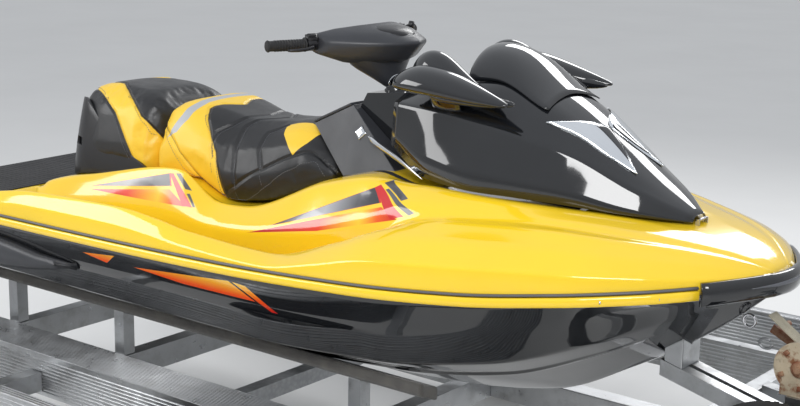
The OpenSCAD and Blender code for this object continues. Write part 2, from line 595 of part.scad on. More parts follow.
module intake_grate() {
    w = min(tunnel_half_w, 150 * ky) - skin_t * sin(atan(deadrise)) - seam;
    color("silver") craft() translate([0, 0, skin_t]) {
        for (s = [intake_s0 + 2, intake_s1 - 22]) v_plate(w, skin_t, s, s + 20);
        for (y = [-72, -36, 0, 36, 72]) translate([(intake_s0 + 10) * kx, y - 4, abs(y) * deadrise - skin_t])
            cube([(intake_s1 - intake_s0 - 20) * kx, 8, 10]);
    }
}

// ---- Trailer frame ----
rails_front_s = 2900;
beam_w = 76;
plank_w = 180;
plank_t = 10;
skirt_t = 8;
main_out = rail_y + rail_w;
step_in = trailer_w / 2 - rail_w;
module main_rails() {
    color("silver") trailer() both()
        bar_x(rear_s, rails_front_s, rail_y + rail_w / 2, rail_w, frame_z - rail_h, rail_h);
}
module step_rails() {
    color("silver") trailer() both()
        bar_x(rear_s, rails_front_s, step_in + rail_w / 2, rail_w, frame_z - rail_h, rail_h);
}
module centre_beam() {
    color("silver") trailer() bar_x(rear_s + 60, nose_s - coupler_l, 0, beam_w, frame_z - cross_h, cross_h);
}
// Wide plank on the starboard rail, with a ribbed skirt on its outer edge
module walk_plank() {
    color("lightgray") trailer() mirror([0, 1, 0]) {
        bar_x(rear_s, rails_front_s, rail_y + plank_w / 2, plank_w, frame_z + seam, plank_t);
        bar_x(rear_s, rails_front_s, rail_y + plank_w - skirt_t / 2, skirt_t, frame_z - rail_h, rail_h + 1);
    }
}
cross_w = 60;
CROSS_S = [340, 940, 2040, 2838];
SIDE_S = [-260, 740, 2100, 2838];
module cross_members() {
    top = frame_z - 12;
    bar_h = 70;
    bar_top = frame_z - 60;
    color("gray") trailer() {
        for (s = CROSS_S, side = [-1, 1]) let (l = rail_y - beam_w / 2 - 2 * seam, y = side * (beam_w / 2 + rail_y) / 2)
            translate([s, y - l / 2, top - cross_h + 12]) cube([cross_w, l, cross_h - 12]);
        // Short bars out to the step rails; the plank's skirt parts the starboard ones
        for (s = SIDE_S) {
            translate([s, main_out + seam, bar_top - bar_h]) cube([cross_w, step_in - main_out - 2 * seam, bar_h]);
            translate([s, -step_in + seam, bar_top - bar_h])
                cube([cross_w, step_in - rail_y - plank_w - 2 * seam, bar_h]);
            translate([s, -rail_y - plank_w + skirt_t + seam, bar_top - bar_h])
                cube([cross_w, plank_w - rail_w - skirt_t - 2 * seam, bar_h]);
        }
    }
}
brace_in = 445;
brace_out = 500;
brace_s = CROSS_S[3] + cross_w;
module tongue_frame() {
    color("silver") trailer() both() translate([0, 0, frame_z - cross_h]) linear_extrude(cross_h)
        polygon([[brace_s + seam, brace_in], [brace_s + seam, brace_out], [4330, beam_w / 2 + seam],
            [4200, beam_w / 2 + seam]]);
}
coupler_l = 190;
ball_r = 25;
ball_fit = 0.6;
socket_depth = 36;
coupler_w = 84;
coupler_z0 = frame_z - cross_h + 5;
module coupler() {
    ball_s = nose_s - coupler_w / 2;
    color("silver") trailer() difference() {
        union() {
            bar_x(nose_s - coupler_l + seam, ball_s, 0, coupler_w, coupler_z0, 58);
            translate([ball_s, 0, coupler_z0]) cylinder(r = coupler_w / 2, h = 58);
            bar_x(nose_s - 150, nose_s - 95, 0, 26, coupler_z0 + 57, 30);
        }
        translate([ball_s, 0, coupler_z0 - 1]) cylinder(r = ball_r + ball_fit, h = socket_depth + 1);
    }
}
tail_w = 150;
tail_h = 80;
module tail_lights() {
    color("red") trailer() both() translate([rear_s - tail_t - seam, trailer_w / 2 - tail_w, frame_z - 110])
        cube([tail_t, tail_w, tail_h]);
}

// ---- Bunks ----
bunk_y = 370;
bunk_w = 90;
bunk_t = 42;
bunk_s0 = 80;
bunk_s1 = 2350;
function bunk_top(y) = y * deadrise - seam;
function bunk_under(y) = bunk_top(y) - bunk_t * sqrt(1 + deadrise * deadrise);
module bunk_slice(y0, y1, low0, low1, high0, high1, s, l) {
    translate([s, 0, 0]) rotate([90, 0, 90]) linear_extrude(l) polygon([[y0, low0], [y1, low1], [y1, high1], [y0, high0]]);
}
module bunks() {
    y0 = bunk_y - bunk_w / 2;
    y1 = bunk_y + bunk_w / 2;
    color("dimgray") craft() both()
        bunk_slice(y0, y1, bunk_under(y0), bunk_under(y1), bunk_top(y0), bunk_top(y1), bunk_s0, bunk_s1 - bunk_s0);
}
post_w = 50;
module bunk_brackets() {
    y0 = bunk_y - post_w / 2;
    y1 = bunk_y + post_w / 2;
    cross_foot = frame_z - cross_h + cross_h - 12 + seam - keel_z;
    beam_foot = frame_z + seam - keel_z;
    color("silver") craft() for (s = [CROSS_S[0], CROSS_S[1], CROSS_S[2]]) {
        mirror([0, 1, 0]) bunk_slice(y0, y1, cross_foot, cross_foot, bunk_under(y0) - seam, bunk_under(y1) - seam, s + 5, post_w);
        bunk_slice(y0, y1, beam_foot, beam_foot, bunk_under(y0) - seam, bunk_under(y1) - seam, s + 5, post_w);
    }
}

// ---- Axle and wheels ----
wheel_y = (rail_y + plank_w + step_in) / 2;
axle_w = 60;
arm_y = rail_y + plank_w - 30;
arm_t = 20;
spindle_r = 20;
rim_w = 110;
lead = 150;
module axle() {
    tube_z = frame_z - rail_h - axle_w - seam;
    color("gray") trailer() {
        translate([axle_s - lead - axle_w / 2, -arm_y, tube_z]) cube([axle_w, 2 * arm_y, axle_w]);
        both() {
            translate([0, arm_y + arm_t, 0]) rotate([90, 0, 0]) linear_extrude(arm_t + 1)
                polygon([[axle_s - lead - 32, tube_z + 2], [axle_s - lead - 32, tube_z + axle_w - 2],
                    [axle_s - lead + 32, tube_z + axle_w - 2], [axle_s + 26, tyre_r + 22],
                    [axle_s + 26, tyre_r - 26], [axle_s - 26, tyre_r - 26]]);
            translate([axle_s, arm_y + arm_t - 1, tyre_r]) rotate([-90, 0, 0])
                cylinder(r = spindle_r, h = wheel_y - arm_y - arm_t + rim_w / 2 + 4);
        }
    }
}
// Outlines of rim and tyre: radius and offset along the axle
bead_fit = 0.3;
module rim() {
    b = spindle_r + hub_gap;
    h = rim_w / 2;
    rotate([-90, 0, 0]) difference() {
        rotate_extrude() polygon([[b, -h + 12], [48, -h + 12], [52, 14], [130, 14], [rim_r - 12, -h + 6], [rim_r - 12, -h],
            [rim_r, -h], [rim_r, h], [rim_r - 12, h], [rim_r - 12, h - 8], [130, 26], [52, 26], [46, h + 8], [b, h + 8]]);
        for (k = [0:7]) rotate([0, 0, 45 * k]) translate([100, 0, 0]) cylinder(r = 17, h = 40);
    }
}
module tyre() {
    w = tyre_w / 2;
    i = rim_r + bead_fit;
    rotate([-90, 0, 0]) rotate_extrude() polygon([[i, -rim_w / 2], [i + 22, -w + 6], [i + 50, -w], [tyre_r - 26, -w + 5],
        [tyre_r - 7, -w + 18], [tyre_r, -w + 38], [tyre_r, w - 38], [tyre_r - 7, w - 18], [tyre_r - 26, w - 5],
        [i + 50, w], [i + 22, w - 6], [i, rim_w / 2]]);
}
module at_wheel(side) {
    trailer() translate([axle_s, side * wheel_y, tyre_r]) scale([1, side, 1]) children();
}
module wheel_rims_left() { color("white") at_wheel(1) rim(); }
module tyre_left() { color("black") at_wheel(1) tyre(); }
module wheel_rims_right() { color("white") at_wheel(-1) rim(); }
module tyre_right() { color("black") at_wheel(-1) tyre(); }

// ---- Winch stand, bow stop, winch and strap ----
post_x = 60;
post_y = 120;
stop_s0 = 2970;
stop_s1 = 3030;
stop_w = 55;
tube_w = 44;
tube_fall = tan(14);
spare_h = 15;
spare_y = -200;
plate_r = 76;
plate_y = 46;
drum_r = 38;
post_top = winch_h - plate_r - 8;
function tube_top(s) = 284 - (s - stop_s0) * kx * tube_fall;
module winch_stand() {
    foot = frame_z + seam - keel_z;
    color("silver") craft() {
        translate([winch_s * kx - post_x / 2, -post_y / 2, foot]) cube([post_x, post_y, post_top - foot]);
        translate([winch_s * kx, -post_y / 2 + 1, spare_h]) rotate([90, 0, 0]) cylinder(r = spindle_r, h = -spare_y - post_y / 2 + rim_w / 2);
    }
}
module bow_stop() {
    x1 = winch_s * kx - post_x / 2 - seam;
    color("silver") craft() {
        loft([for (s = [stop_s0, stop_s1]) let (k = column(HULL, s, 1), rise = (column(HULL, s, 3) - k) / (column(HULL, s, 2) * ky),
                z = tube_top(s) + seam, e = k + rise * stop_w)
            [[s * kx, -stop_w, z], [s * kx, -stop_w, e - 1], [s * kx, 0, k - 1], [s * kx, stop_w, e - 1], [s * kx, stop_w, z]]]);
        for (side = [-1, 1]) translate([0, side * 32 + tube_w / 2, 0]) rotate([90, 0, 0]) linear_extrude(tube_w)
            polygon([[(stop_s0 - 14) * kx, tube_top(stop_s0 - 14)], [x1, tube_top(x1 / kx)],
                [x1, tube_top(x1 / kx) - 50], [(stop_s0 - 14) * kx, tube_top(stop_s0 - 14) - 50]]);
    }
}
WINCH = [winch_s * kx, 0, winch_h];
module winch_frame() {
    color("tan") craft() translate(WINCH) {
        both() translate([0, plate_y + 5, 0]) rotate([90, 0, 0]) linear_extrude(5) difference() {
            union() {
                circle(r = plate_r);
                translate([-plate_r * 0.7, -plate_r - 4]) square([plate_r * 1.4, plate_r]);
            }
            circle(r = 10 + pin_fit);
        }
        translate([-plate_r * 0.7, -plate_y - 5, -plate_r - 7.6]) cube([plate_r * 1.4, 2 * plate_y + 10, 4]);
    }
}
module winch_drum() {
    color("saddlebrown") craft() translate(WINCH) rotate([-90, 0, 0]) {
        cylinder(r = 10, h = 2 * plate_y + 44, center = true);
        cylinder(r = drum_r, h = 56, center = true);
        for (z = [-34, 28]) translate([0, 0, z]) cylinder(r = 60, h = 6);
        // Crank on the port end, its grip out to port
        rotate([0, 0, crank_rest]) {
            translate([0, -13, plate_y + 14]) cube([crank_r + 12, 26, 8]);
            translate([crank_r, 0, plate_y + 14]) cylinder(r = 9, h = 95);
        }
    }
}
crank_rest = 205;
strap_w = 50;
strap_t = 3;
module winch_strap() {
    d = [EYE[0] - WINCH[0], EYE[2] - WINCH[2] - 14];
    aim = atan2(d[1], d[0]) - asin((drum_r + 0.6) / norm(d));
    l = sqrt(d[0] * d[0] + d[1] * d[1] - (drum_r + 0.6) * (drum_r + 0.6));
    start = [WINCH[0], 0, WINCH[2]] + (drum_r + 0.6) * [-sin(aim), 0, cos(aim)] * -1;
    color("tan") craft() translate(start) rotate([0, -aim, 0])
        translate([0, -strap_w / 2, -strap_t]) cube([l - eye_r - 8, strap_w, strap_t]);
}
module at_spare() { craft() translate([WINCH[0], spare_y, spare_h]) mirror([0, 1, 0]) children(); }
module spare_rim() { color("white") at_spare() rim(); }
module spare_tyre() { color("black") at_spare() tyre(); }

// ---- Tongue jack ----
jack_y = beam_w / 2 + jack_r + 12;
jack_tube_z = 330;
jack_tube_l = 640;
leg_r = jack_r - 5;
leg_top = 640;
foot_w = 160;
foot_t = 12;
module jack_tube() {
    color("silver") trailer() translate([jack_s, jack_y, 0]) {
        difference() {
            union() {
                translate([0, 0, jack_tube_z]) cylinder(r = jack_r, h = jack_tube_l);
                translate([-50, -jack_y + beam_w / 2 + seam, frame_z - cross_h + 15]) cube([100, jack_y - beam_w / 2 - seam, 70]);
            }
            translate([0, 0, jack_tube_z - 1]) cylinder(r = leg_r + pin_fit, h = jack_tube_l - 10);
        }
        translate([0, 0, jack_tube_z + jack_tube_l]) cylinder(r = 12, h = 22);
        translate([-8, -8, jack_tube_z + jack_tube_l + 22]) cube([110, 16, 8]);
        translate([92, 0, jack_tube_z + jack_tube_l + 30]) cylinder(r = 10, h = 60);
    }
}
module jack_leg() {
    color("silver") trailer() translate([jack_s, jack_y, 0]) {
        translate([0, 0, foot_t - 1]) cylinder(r = leg_r, h = leg_top - foot_t);
        translate([-foot_w / 2, -foot_w / 2, 0]) cube([foot_w, foot_w, foot_t]);
    }
}

hull();
deck();
transom();
gunwale_bumpers();
bumper_inserts();
bow_bumper();
sponsons();
footwell_mats();
platform_mat();
rear_seat();
front_seat();
grab_handle();
engine_block();
glove_box();
glove_box_lid();
console();
steering_column();
steering_cover();
handlebar();
handlebar_grips();
handlebar_controls();
hood();
hood_hinge();
windshield();
mirrors();
headlight();
storage_bin();
bow_eye();
stern_eyes();
pump_housing();
impeller();
jet_nozzle();
reverse_gate();
intake_grate();
ride_plate();
main_rails();
step_rails();
centre_beam();
walk_plank();
cross_members();
tongue_frame();
coupler();
bunks();
bunk_brackets();
axle();
wheel_rims_left();
tyre_left();
wheel_rims_right();
tyre_right();
winch_stand();
bow_stop();
winch_frame();
winch_drum();
winch_strap();
jack_tube();
jack_leg();
spare_rim();
spare_tyre();
tail_lights();
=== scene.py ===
import math
import bpy
import bmesh
from bpy.props import FloatProperty, FloatVectorProperty, IntProperty, PointerProperty
from mathutils import Matrix, Vector
from mathutils.bvhtree import BVHTree


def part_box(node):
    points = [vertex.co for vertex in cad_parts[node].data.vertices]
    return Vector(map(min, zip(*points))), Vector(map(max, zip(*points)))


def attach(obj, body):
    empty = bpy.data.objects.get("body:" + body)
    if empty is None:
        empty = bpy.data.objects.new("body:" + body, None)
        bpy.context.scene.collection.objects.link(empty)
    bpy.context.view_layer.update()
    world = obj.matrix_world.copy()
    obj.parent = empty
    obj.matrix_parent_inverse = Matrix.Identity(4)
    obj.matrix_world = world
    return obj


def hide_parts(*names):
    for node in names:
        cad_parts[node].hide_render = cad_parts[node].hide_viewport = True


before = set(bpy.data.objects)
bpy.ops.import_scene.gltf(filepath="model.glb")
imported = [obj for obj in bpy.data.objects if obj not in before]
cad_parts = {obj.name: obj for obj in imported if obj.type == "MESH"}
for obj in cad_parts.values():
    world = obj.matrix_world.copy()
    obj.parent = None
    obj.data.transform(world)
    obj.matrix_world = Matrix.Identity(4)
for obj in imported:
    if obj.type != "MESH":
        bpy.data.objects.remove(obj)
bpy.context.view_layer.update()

bl_info = {"name": "Watercraft on Trailer", "version": (1, 0, 0), "blender": (4, 5, 0),
           "location": "3D View > Sidebar > Watercraft",
           "description": "Dresses a three-seat personal watercraft and its trailer",
           "category": "Object"}

HULL_LOW, HULL_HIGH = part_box("hull")
ORIGIN = Vector((HULL_LOW.x, (HULL_LOW.y + HULL_HIGH.y) / 2, HULL_LOW.z))
BASE = "trailer_and_hull"

# ---- Shape tables of the craft, in millimetres from the transom, its centreline and the keel line ----
# Station, keel height, chine y and h, crease y and h, gunwale y and h
HULL = [
    (0, 0, 500, 200, 550, 305, 565, 400),
    (1700, 0, 500, 200, 575, 330, 610, 445),
    (2200, 25, 480, 225, 560, 350, 603, 472),
    (2580, 90, 420, 280, 505, 400, 570, 505),
    (2860, 230, 310, 370, 410, 460, 498, 540),
    (3050, 350, 190, 455, 290, 515, 402, 563),
    (3180, 450, 90, 510, 182, 550, 285, 576),
    (3250, 515, 43, 545, 100, 565, 180, 581),
    (3300, 556, 22, 566, 44, 575, 78, 583)]
# Station, crest y and h, floor outer y, inner y and h, knee y and h, shoulder y and h, ledge y and h, centre h
DECK = [
    (0, 525, 468, 480, 300, 470, 290, 470, 280, 470, 262, 470, 470),
    (420, 540, 495, 480, 310, 470, 300, 470, 285, 470, 262, 470, 470),
    (470, 545, 505, 478, 345, 372, 335, 430, 292, 500, 262, 502, 502),
    (700, 552, 540, 478, 352, 364, 340, 470, 296, 560, 262, 556, 556),
    (1190, 560, 560, 480, 358, 360, 350, 500, 296, 655, 262, 602, 602),
    (1380, 560, 545, 480, 362, 360, 355, 500, 292, 560, 262, 545, 545),
    (1500, 555, 528, 480, 364, 360, 368, 505, 296, 566, 262, 556, 556),
    (1850, 535, 512, 470, 372, 362, 385, 556, 300, 690, 262, 700, 700),
    (2080, 500, 580, 448, 398, 480, 392, 630, 312, 745, 262, 748, 748),
    (2220, 480, 635, 440, 412, 625, 395, 690, 322, 752, 262, 738, 738),
    (2300, 475, 652, 438, 412, 662, 388, 708, 328, 755, 205, 735, 735),
    (2460, 462, 668, 425, 396, 690, 368, 722, 332, 752, 205, 735, 735),
    (2750, 420, 682, 378, 345, 704, 310, 722, 245, 735, 205, 732, 732),
    (2950, 345, 674, 302, 268, 690, 228, 702, 135, 712, 110, 710, 710),
    (3080, 270, 666, 236, 205, 678, 172, 686, 110, 690, 80, 692, 692),
    (3180, 198, 652, 170, 145, 660, 120, 665, 90, 667, 60, 668, 668),
    (3250, 118, 630, 100, 84, 635, 68, 638, 52, 639, 32, 640, 640),
    (3300, 46, 604, 39, 32, 607, 26, 608, 19, 609, 11, 610, 610)]
# Station, edge y and h, crease y and h, bonnet y and h, centre h
HOOD = [
    (2080, 240, 835, 226, 972, 150, 1005, 1015),
    (2260, 300, 762, 250, 968, 172, 1045, 1062),
    (2420, 318, 752, 248, 948, 165, 1070, 1094),
    (2560, 290, 748, 228, 922, 148, 1014, 1040),
    (2700, 246, 740, 196, 886, 120, 938, 958),
    (2850, 182, 726, 138, 812, 78, 838, 848),
    (2950, 118, 714, 92, 765, 48, 776, 780),
    (3030, 42, 702, 32, 722, 18, 726, 728)]
# Station, half width at the base, half width and height of the top
REAR_SEAT = [(470, 92, 60, 640), (500, 150, 112, 780), (540, 196, 142, 832), (580, 222, 160, 858),
             (640, 240, 176, 870), (700, 250, 185, 876),
             (860, 250, 190, 872), (975, 248, 178, 845)]
FRONT_SEAT = [(985, 248, 172, 800), (1030, 250, 178, 846), (1110, 250, 182, 862), (1190, 250, 180, 848),
              (1380, 245, 160, 818), (1500, 232, 148, 824), (1600, 215, 142, 838), (1650, 206, 134, 838),
              (1828, 190, 120, 715)]
# Station, centre to port, half width, lowest and highest height
MIRROR = [(2129, 265, 58, 1026, 1076), (2204, 272, 78, 1020, 1116), (2304, 276, 80, 1018, 1108),
          (2424, 282, 58, 1012, 1074), (2549, 295, 12, 1014, 1030)]
MIRROR_LOBE = [(2132, 192, 22, 1062, 1088), (2160, 198, 48, 1040, 1134), (2210, 205, 62, 1026, 1156),
               (2270, 212, 62, 1018, 1140), (2330, 220, 52, 1010, 1100), (2400, 230, 38, 1004, 1062),
               (2490, 240, 8, 1000, 1018)]
MIRROR_BLADE = [(2264, 272, 50, 1004, 1082), (2344, 272, 44, 1000, 1068), (2434, 268, 30, 1000, 1050),
                (2504, 264, 16, 1004, 1036), (2552, 260, 5, 1016, 1028)]
# Round section of a mirror lobe, as shares of its half width and of its height
LOBE_SECTION = ((-0.8, 0), (-1, 0.42), (-0.62, 0.88), (0, 1), (0.6, 0.84), (1, 0.36), (0.8, 0))
# Offset to port, rear and front station, lowest and highest height
COVER = [(-214, 1702, 1800, 1090, 1156), (-150, 1716, 1900, 1062, 1172), (-80, 1745, 1975, 1050, 1181),
         (0, 1755, 2012, 1046, 1184), (80, 1745, 1975, 1050, 1181), (150, 1716, 1900, 1062, 1172),
         (214, 1702, 1800, 1090, 1156)]


def at(s, y, h):
    return ORIGIN + Vector((s, y, h)) / 1000


def flow(table, s):
    """Columns of a table at a station, on smooth curves that never overshoot a row."""
    k = max(0, min(len(table) - 2, next((i for i in range(len(table) - 1) if s < table[i + 1][0]), len(table) - 2)))
    x0, x1 = table[k][0], table[k + 1][0]
    t = min(1, max(0, (s - x0) / (x1 - x0)))

    def rise(i, c):
        return (table[i + 1][c] - table[i][c]) / (table[i + 1][0] - table[i][0])

    def lean(i, c):
        if i == 0:
            return rise(0, c)
        if i == len(table) - 1:
            return rise(i - 1, c)
        a, b = rise(i - 1, c), rise(i, c)
        return 0 if a * b <= 0 else 2 * a * b / (a + b)
    out = [s]
    for c in range(1, len(table[0])):
        a, b, w = table[k][c], table[k + 1][c], x1 - x0
        out.append((1 + 2 * t) * (1 - t) ** 2 * a + t * (1 - t) ** 2 * w * lean(k, c)
                   + t * t * (3 - 2 * t) * b + t * t * (t - 1) * w * lean(k + 1, c))
    return out


def gunwale(s):
    row = flow(HULL, s)
    return row[6], row[7]


def hull_half(s):
    _, k, cy, cz, ry, rz, gy, gz = flow(HULL, s)
    fade = max(0, min(1, (3000 - s) / 500))
    mouth = min(105, 0.3 * cy)

    def floor(y):
        return k + (cz - k) * y / cy
    return [(gy, gz), (ry, rz), (cy, cz), (0.72 * cy, floor(0.72 * cy)), (0.68 * cy, floor(0.68 * cy) - 9 * fade),
            (0.63 * cy, floor(0.63 * cy)), (mouth, floor(mouth)), (0, k)]


def deck_half(s):
    d = flow(DECK, s)
    gy, gz = gunwale(s)
    rise = d[2] - gz
    return [(gy, gz + 0.4), (gy - 4, gz + 0.55 * rise), (d[1] + 0.35 * (gy - d[1]), d[2] - 0.12 * rise),
            (d[1], d[2]), (d[3], d[5]), (d[4], d[5]), (d[6], d[7]), (d[8], d[9]), (d[10], d[11]), (0, d[12])]


def hood_half(s):
    d = flow(HOOD, s)
    return [(d[1], d[2] + 7), (d[3], d[4]), (d[5], d[6]), (0, d[7])]


def whole(half):
    return list(half) + [(-y, h) for y, h in reversed(half[:-1])]


def eased(points, radii, arc=4, span=3):
    """A section with rounded corners; sections of one list keep one count of points."""
    pts = [Vector(p) for p in points]
    out = [pts[0]]
    for k in range(1, len(pts) - 1):
        p, a, b = pts[k], pts[k - 1] - pts[k], pts[k + 1] - pts[k]
        r = min(radii[k], 0.46 * a.length, 0.46 * b.length)
        start, end = p + a.normalized() * r, p + b.normalized() * r
        last = out[-1]
        out += [last.lerp(start, t / span) for t in range(1, span)]
        out += [start.lerp(p, u).lerp(p.lerp(end, u), u) for u in [t / arc for t in range(arc + 1)]]
    last = out[-1]
    return out + [last.lerp(pts[-1], t / span) for t in range(1, span + 1)]


def stations(table, step):
    """Stations a step apart that include every row of a table."""
    out = []
    for a, b in zip(table, table[1:]):
        n = max(1, round((b[0] - a[0]) / step))
        out += [a[0] + (b[0] - a[0]) * k / n for k in range(n)]
    return out + [table[-1][0]]


# ---- Meshes ----
def thing(name, mesh, smooth=True):
    ob = bpy.data.objects.new(name, mesh)
    bpy.context.scene.collection.objects.link(ob)
    mesh.polygons.foreach_set("use_smooth", [smooth] * len(mesh.polygons))
    return ob


def tidy(ob, closed=True, middle=None):
    """Merges doubles and turns the faces outwards: on a shell, away from its middle."""
    bm = bmesh.new()
    bm.from_mesh(ob.data)
    bmesh.ops.remove_doubles(bm, verts=bm.verts, dist=1e-6)
    bmesh.ops.dissolve_degenerate(bm, dist=1e-7, edges=bm.edges)
    bmesh.ops.recalc_face_normals(bm, faces=bm.faces)
    if not closed:
        c = middle or sum((v.co for v in bm.verts), Vector()) / len(bm.verts)
        if sum(f.normal.dot(f.calc_center_median() - c) * f.calc_area() for f in bm.faces) < 0:
            bmesh.ops.reverse_faces(bm, faces=bm.faces)
    bm.to_mesh(ob.data)
    bm.free()
    return ob


def skin(name, rows, keep=None, middle=None):
    """Open shell over rows of points."""
    m = len(rows[0])
    faces = [(i * m + j, i * m + j + 1, (i + 1) * m + j + 1, (i + 1) * m + j)
             for i in range(len(rows) - 1) for j in range(m - 1) if keep is None or keep(rows, i, j)]
    mesh = bpy.data.meshes.new(name)
    mesh.from_pydata([p for row in rows for p in row], [], faces)
    return tidy(thing(name, mesh), False, middle)


def loft(name, rings, caps=True):
    """Closed solid through rings of one count, with a fan on each end."""
    m, n = len(rings[0]), len(rings)
    pts = [p for r in rings for p in r]
    faces = [(i * m + j, i * m + (j + 1) % m, (i + 1) * m + (j + 1) % m, (i + 1) * m + j)
             for i in range(n - 1) for j in range(m)]
    for k in ((0, n - 1) if caps else ()):
        pts.append(sum(rings[k], Vector()) / m)
        faces += [(k * m + j, k * m + (j + 1) % m, len(pts) - 1) for j in range(m)]
    mesh = bpy.data.meshes.new(name)
    mesh.from_pydata(pts, [], faces)
    return tidy(thing(name, mesh))


def round_off(ob, levels=2):
    mod = ob.modifiers.new("Smooth", "SUBSURF")
    mod.levels = mod.render_levels = levels
    return ob


def wall(ob, t, outward=False):
    mod = ob.modifiers.new("Wall", "SOLIDIFY")
    mod.thickness = t
    mod.offset = 1 if outward else -1
    return ob


def bevel(ob, width, segments=2, angle=35):
    mod = ob.modifiers.new("Edge", "BEVEL")
    mod.width = width
    mod.segments = segments
    mod.limit_method = "ANGLE"
    mod.angle_limit = math.radians(angle)
    mod.harden_normals = False
    return ob


def frozen(ob):
    """Puts the shape of the modifiers into the mesh."""
    deps = bpy.context.evaluated_depsgraph_get()
    mesh = bpy.data.meshes.new_from_object(ob.evaluated_get(deps))
    ob.modifiers.clear()
    old = ob.data
    ob.data = mesh
    mesh.name = ob.name
    bpy.data.meshes.remove(old)
    return ob


def joined(name, parts):
    """One object made of several."""
    bm = bmesh.new()
    for part in parts:
        deps = bpy.context.evaluated_depsgraph_get()
        mesh = bpy.data.meshes.new_from_object(part.evaluated_get(deps))
        bm.from_mesh(mesh)
        bpy.data.meshes.remove(mesh)
        bpy.data.objects.remove(part)
    mesh = bpy.data.meshes.new(name)
    bm.to_mesh(mesh)
    bm.free()
    return thing(name, mesh)


def box(name, low, high):
    mesh = bpy.data.meshes.new(name)
    bm = bmesh.new()
    bmesh.ops.create_cube(bm, size=1)
    low, high = Vector(low), Vector(high)
    for v in bm.verts:
        v.co = (low + high) / 2 + Vector(v.co[i] * (high[i] - low[i]) for i in range(3))
    bm.to_mesh(mesh)
    bm.free()
    return thing(name, mesh)


def tube(name, points, radius, sides=16, taper=None):
    """Round tube through points, with closed ends."""
    rings = []
    up = Vector((0, 0, 1))
    for k, p in enumerate(points):
        d = (points[min(k + 1, len(points) - 1)] - points[max(k - 1, 0)]).normalized()
        a = d.cross(up)
        a = a.normalized() if a.length > 0.05 else d.cross(Vector((0, 1, 0))).normalized()
        b = d.cross(a)
        r = radius * (taper[k] if taper else 1)
        rings.append([p + (a * math.cos(t) + b * math.sin(t)) * r
                      for t in [2 * math.pi * j / sides for j in range(sides)]])
    return loft(name, rings)


def give(ob, material, nodes=(), body=BASE):
    """Finish, CAD nodes that a piece stands for, body, and material slot where it isn't named as the finish."""
    ob.data.materials.clear()
    ob.data.materials.append(finish(material))
    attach(ob, body)
    if nodes:
        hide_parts(*nodes)
    return ob


